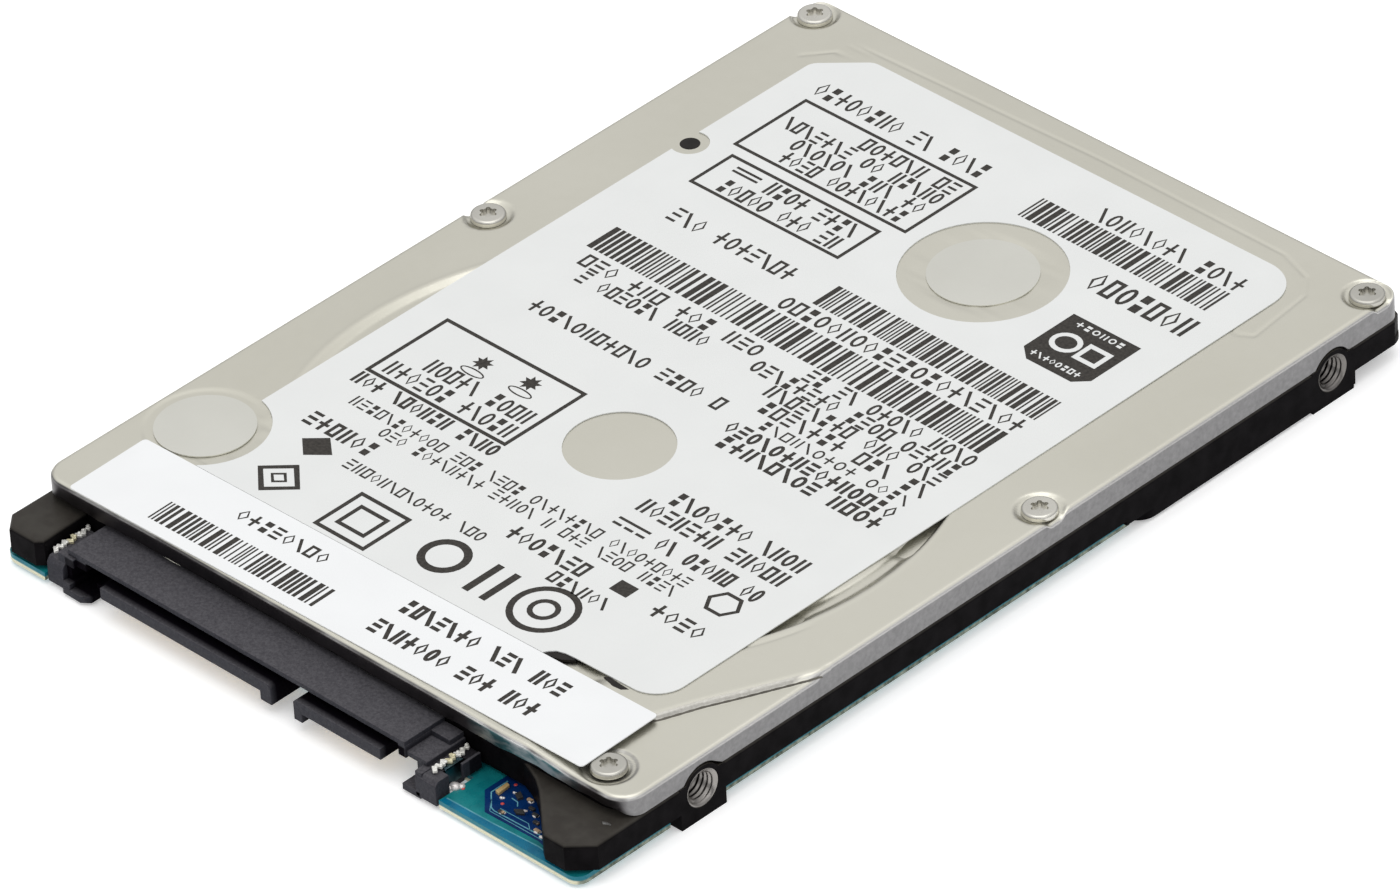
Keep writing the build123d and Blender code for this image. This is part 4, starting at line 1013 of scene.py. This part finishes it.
def make_fold_shadow(paint):
    """Painted shadow at the foot of the crease: a thin dark ribbon on the sheet."""
    verts, faces = [], []
    steps = 56
    for i in range(steps + 1):
        y = FOLD_START + (CREASE_Y[-1] - 0.2 - FOLD_START) * i / steps
        x = float(np.interp(y, CREASE_Y, CREASE_X))
        wide = 0.09 + 0.012 * math.sin(1.9 * i)
        for dx, dz in ((-wide, 0.035), (wide, 0.0), (0.0, -0.06)):
            spot = np.array([x + dx + 0.02]), np.array([y])
            verts.append((x + dx + 0.02, y, float(cover_height(*spot)[0]) + dz + 0.012))
    for i in range(steps):
        faces += skirt(3 * i, 3 * i + 3, 3)
    faces += [(0, 2, 1), (3 * steps, 3 * steps + 1, 3 * steps + 2)]
    new_piece("fold_shadow", verts, faces, paint)


# ---------------------------------------------------------------- threads

THREAD_LENGTH = 2.3


def thread_piece(name, mouth, axis, length, material):
    """The cut thread inside a hole: a closed sleeve whose inner wall is a helix of ridges."""
    pitch, wall, root, crest = 0.5, 1.495, 1.475, 1.24
    flare, flare_depth = 0.26, 0.3
    sides, steps = 48, int(length / pitch * 8)
    mouth, axis = Vector(mouth), Vector(axis)
    side = axis.orthogonal().normalized()
    up = axis.cross(side)
    verts, faces = [], []

    def ring(depth, radii):
        for j, radius in enumerate(radii):
            turn = 2 * math.pi * j / sides
            ray = side * math.cos(turn) + up * math.sin(turn)
            verts.append(tuple(mouth - axis * depth + ray * radius))

    for i in range(steps + 1):
        depth = length * i / steps
        lead = min(1.0, depth / (pitch * 0.9))
        open_by = flare * max(0.0, 1.0 - depth / flare_depth)
        radii = []
        for j in range(sides):
            phase = (depth / pitch - j / sides) % 1.0
            tooth = 1.0 - abs(2 * phase - 1.0)
            radii.append(root - (root - crest) * min(1.0, tooth * 1.15) * lead + open_by)
        ring(depth, radii)
    ring(length, [wall] * sides)
    ring(0.0, [wall + flare] * sides)
    rings = steps + 3
    for k in range(rings):
        faces += skirt(k * sides, (k + 1) % rings * sides, sides)
    smooth(new_piece(name, verts, faces, material), 180)


def make_threads(paint):
    """A thread in each side hole that the record names."""
    for mount in frame["record"]["mounts"]:
        if mount["kind"] == "threaded_hole":
            axis = mount["axis"]
            mouth = [c / MM for c in mount["pos_m"]]
            mouth[0] = axis[0] * CAD_HIGH.x / MM - axis[0] * 0.02
            thread_piece("thread_" + mount["name"], mouth, axis, THREAD_LENGTH, paint)


# ---------------------------------------------------------------- plug, locks and board corner


PLUG_LEFT, PLUG_RIGHT, TAB_TOP = -27.35, 13.4, 4.2


def make_plug(paint):
    """The moulded plug with its keyed tongues, guides and feet."""
    b = Blocks()
    b.box(PLUG_LEFT, PLUG_RIGHT, -49.15, -44.45, 3.9, 4.4)
    b.box(PLUG_LEFT, 15.6, -46.1, -44.45, 1.5, 3.95)
    b.box(PLUG_LEFT, -25.2, -49.1, -46.0, 2.95, 3.92)
    b.box(-28.3, -26.4, -49.45, -48.4, 2.9, 3.8)
    b.prism([(-49.8, 0.45), (-49.8, 2.5), (-49.4, 3.0), (-46.0, 3.0), (-46.0, 0.45)], -29.45, -27.45, "x")
    b.box(-29.45, -27.45, -46.1, -44.75, 1.5, 3.0)
    b.box(-27.5, -26.9, -49.3, -46.0, 0.45, 2.95)
    b.prism([(-27.4, -50.05), (-25.2, -50.1), (-24.4, -49.5), (-24.4, -46.0), (-27.4, -46.0)], 0.28, 0.95)
    b.box(-27.4, -26.5, -50.0, -46.0, 0.5, 1.5)
    b.box(-24.9, -24.4, -48.4, -46.0, 0.5, 1.6)
    power = [(-22.6, 1.95), (-3.19, 1.95), (-3.19, 1.05), (-1.83, 1.05), (-1.83, 2.65), (-1.95, 2.93)]
    power += [(-2.25, 3.1), (-22.6, 3.1)]
    data = [(0.86, 1.05), (1.86, 1.05), (1.86, 1.95), (11.27, 1.95), (11.27, 3.1), (1.13, 3.1)]
    data += [(0.86, 2.85)]
    for tongue in (power, data):
        b.prism(tongue, -50.0, -46.0, "y")
    b.box(12.5, PLUG_RIGHT, -49.1, -44.45, 2.7, 3.92)
    inner = PLUG_RIGHT - 0.05
    b.prism([(inner, 2.9), (15.75, 2.9), (15.75, 3.34), (15.6, 3.44), (inner, 3.40)], -48.95, -44.45, "y")
    b.box(14.5, 15.75, -48.9, -46.0, 0.9, 2.92)
    b.prism([(13.75, -50.05), (15.9, -50.05), (15.9, -46.0), (13.75, -46.0)], 0.28, 0.95)
    foot = [(-50.05, 0.45), (-50.05, 2.45), (-49.7, 2.85), (-48.45, 2.85), (-48.45, 0.45)]
    b.prism(foot, 15.35, 17.8, "x")
    b.prism([(-49.95, 2.4), (-49.95, 2.95), (-48.8, 2.95), (-48.8, 2.4)], 15.3, 16.1, "x")
    b.box(15.35, 17.0, -48.5, -46.0, 0.45, 2.8)
    b.box(15.3, 17.8, -46.1, -44.75, 1.5, 2.95)
    b.box(17.55, 17.85, -46.9, -44.75, 1.5, 3.05)
    piece = b.piece("plug_housing", paint, "black_plastic", soft=0.07)
    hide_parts("sata_housing")


def make_locks(paints):
    """The two pressed strips beside the plug: rounded links, gold in the middle, and a soldered leg."""
    tin, gold = Blocks(), Blocks()
    for x, start in ((-29.38, -48.75), (16.62, -48.95)):
        for k in range(8):
            y = start + 0.53 * k + (0.12 if k == 7 else 0)
            lean = 0.62 * (1 if k % 2 else -1) + 0.25 * math.sin(5.1 * k)
            long, wide = 0.35 - (0.12 if k == 7 else 0), 0.21 + 0.03 * math.sin(4.3 * k)
            c, d = math.cos(lean), math.sin(lean)
            middle = x + 0.09 * math.sin(2.4 * k + 0.6)
            corners = [(long, wide), (-long, wide), (-long, -wide), (long, -wide)]
            loop = [(middle + u * c - v * d, y + u * d + v * c) for u, v in corners]
            strip = gold if k in (3, 4) else tin
            strip.prism(loop, 2.98, 3.30 + 0.05 * math.sin(3.3 * k))
            strip.lump(middle + 0.17 * math.sin(7 * k), y + 0.16, 3.26, 0.17, 0.20, 0.13)
    leg = Blocks()
    leg.box(17.1, 17.24, -48.3, -46.2, 1.25, 2.95)
    leg.box(16.7, 17.24, -48.2, -46.3, 2.8, 2.98)
    # the leg is painted with a reflection of the board's teal
    leg.piece("lock_leg", paints["teal_lit_leg"], "tin_plate", soft=0.03)
    piece = tin.piece("lock_strips", paints["bright_tin"], "tin_plate", soft=0.07)
    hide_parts("board_locks")
    gold.piece("lock_middles", paints["pale_gold"], "gold_contact", soft=0.07)
    blob = Blocks()
    for place, size in (
        ((17.75, -47.85, 1.28), (0.55, 0.48, 0.34)),
        ((18.1, -47.45, 1.25), (0.35, 0.36, 0.24)),
        ((17.5, -48.2, 1.25), (0.34, 0.3, 0.22)),
    ):
        blob.lump(*place, *size)
    blob.piece("lock_solder", paints["solder"], "tin_plate", soft=0)


def make_breather(paint):
    """Painted shade: a dark lens that stands in for the shaded inside of the breather's hole."""
    mouth = Blocks()
    mouth.lump(*BREATHER, TOP_Z - 0.032, 1.1, 1.1, 0.045, 40, 8)
    mouth.piece("breather_shade", paint, "gasket_rubber", soft=0)


def make_shadow_fills(paint):
    """Painted shadow: dark blocks in the groove where the main label bridges it beside the part label."""
    fills = Blocks()
    level = TOP_Z - 0.008
    for loop in (
        [(15.6, -35.12), (16.6, -35.06), (17.5, -34.78), (18.45, -34.1), (17.8, -33.86), (16.5, -34.12)],
        [(21.75, -34.12), (22.2, -33.86), (24.65, -34.0), (24.1, -34.5), (23.2, -34.6)],
    ):
        fills.prism(loop, level - 0.25, level)
    fills.piece("groove_shadows", paint, "cover_steel", soft=0.03)


def make_board_corner(paints):
    """What shows of the circuit board beside the plug: masked zones, tracks, pads and parts."""
    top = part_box("circuit_board")[1].z / MM
    zone = Print(top - 0.01, top + 0.012)
    near = [(19.9, -43.1), (19.87, -46.5), (21.97, -48.57), (28.1, -48.4)]
    zone.slab(near + [(30.2, -48.9), (30.2, -43.1)])
    zone.piece("board_zone", paints["mask_dark"], "solder_mask")
    band = Print(top - 0.01, top + 0.010)
    inside = [(31.6, -49.35), (28.65, -48.95), (23.3, -49.25), (18.1, -49.35)]
    band.slab([(18.1, -49.93), (32.4, -49.93)] + inside)
    band.piece("board_band", paints["mask_blue"], "solder_mask")
    lines = Print(top + 0.008, top + 0.022)
    for points, width in (
        ([(20.47, -44.4), (20.48, -46.34), (21.94, -47.78), (22.43, -47.95), (28.6, -47.75)], 0.11),
        ([(18.3, -49.3), (23.3, -49.2), (28.65, -48.9), (31.4, -49.25)], 0.13),
        ([(22.33, -45.81), (23.1, -45.87), (23.5, -46.3)], 0.09),
        ([(21.15, -47.0), (22.2, -48.2), (28.2, -48.12)], 0.07),
        ([(22.6, -47.4), (25.8, -47.3), (26.6, -47.9)], 0.07),
    ):
        for a, b in zip(points, points[1:]):
            lines.stroke(a, b, width)
    lines.piece("board_tracks", paints["track"], "solder_mask")
    pads = Blocks()
    for x, y, size in (
        (23.11, -47.75, 0.20), (23.9, -45.2, 0.17), (24.67, -45.8, 0.17), (25.5, -46.25, 0.2),
        (26.1, -46.85, 0.18), (27.1, -47.65, 0.22), (21.7, -46.36, 0.16), (22.02, -45.2, 0.12),
        (24.4, -46.34, 0.13), (27.9, -47.9, 0.18),
    ):
        pads.lump(x, y, top + 0.03, size * 1.3, size, 0.13, 12, 6)
        pads.lump(x + size, y + size * 0.7, top + 0.03, size * 0.7, size * 0.8, 0.10, 12, 6)
    cluster = (20.7, -43.35, 0.26), (21.15, -43.6, 0.3), (21.5, -43.25, 0.22), (21.0, -43.15, 0.2)
    for x, y, size in cluster:
        pads.lump(x, y, top + 0.05, size, size, 0.14, 12, 6)
    pads.piece("board_pads", paints["solder"], "tin_plate", soft=0)
    small = Blocks()
    small.prism([(20.83, -46.2), (21.33, -46.3), (21.2, -44.9), (20.8, -44.8)], top, top + 0.32)
    small.piece("corner_capacitor", paints["ceramic_tan"], "ceramic_parts", soft=0.05)
    # two dark blocks on the board by the tab
    dark = Blocks()
    dark.prism([(23.65, -46.9), (24.25, -47.15), (24.85, -46.75), (24.3, -46.4)], top, top + 0.25)
    dark.prism([(22.5, -44.9), (23.2, -45.3), (23.0, -45.75), (22.3, -45.4)], top, top + 0.3)
    dark.piece("corner_dark_blocks", paints["chip_resin"], "chip_resin", soft=0.05)
    red = Blocks()
    for x, y in ((22.3, -46.84), (21.32, -44.34), (18.4, -47.55)):
        red.lump(x, y, top + 0.02, 0.17, 0.17, 0.07, 12, 6)
    red.piece("board_marks", paints["red_varnish"], "solder_mask", soft=0)
    # a small bright patch on the tab's top by the cover's corner
    patch = Print(TAB_TOP - 0.01, TAB_TOP + 0.012)
    patch_outline = [(33.0, -45.75), (33.3, -45.95), (33.6, -45.8), (33.95, -45.65), (33.75, -45.5), (33.3, -45.6)]
    patch.slab(patch_outline)
    patch.piece("bright_patch", paints["tin_plate"], "tin_plate")


# ---------------------------------------------------------------- the scene

make_camera()
make_world()
make_floor()
make_lamp("key", (0.05, -0.05, 0.9), (0, 0, 0), (0.8, 0.8), 2.0)
make_lamp("fill", (0.7, -0.25, 0.45), (0, 0, 0), (0.5, 0.3), 0.3)
paints = make_paints()
dress_nodes(paints)
for node in ("cover_screws", "board_parts"):
    soften(NODES[node], 0.05, weld=True)
make_cover(paints["cover_steel"])
make_fold_shadow(paints["fold_shade"])
make_prints(paints)
make_threads(paints["thread_steel"])
make_plug(paints["black_plastic"])
make_locks(paints)
make_breather(paints["hollow_shade"])
make_shadow_fills(paints["hollow_shade"])
make_board_corner(paints)
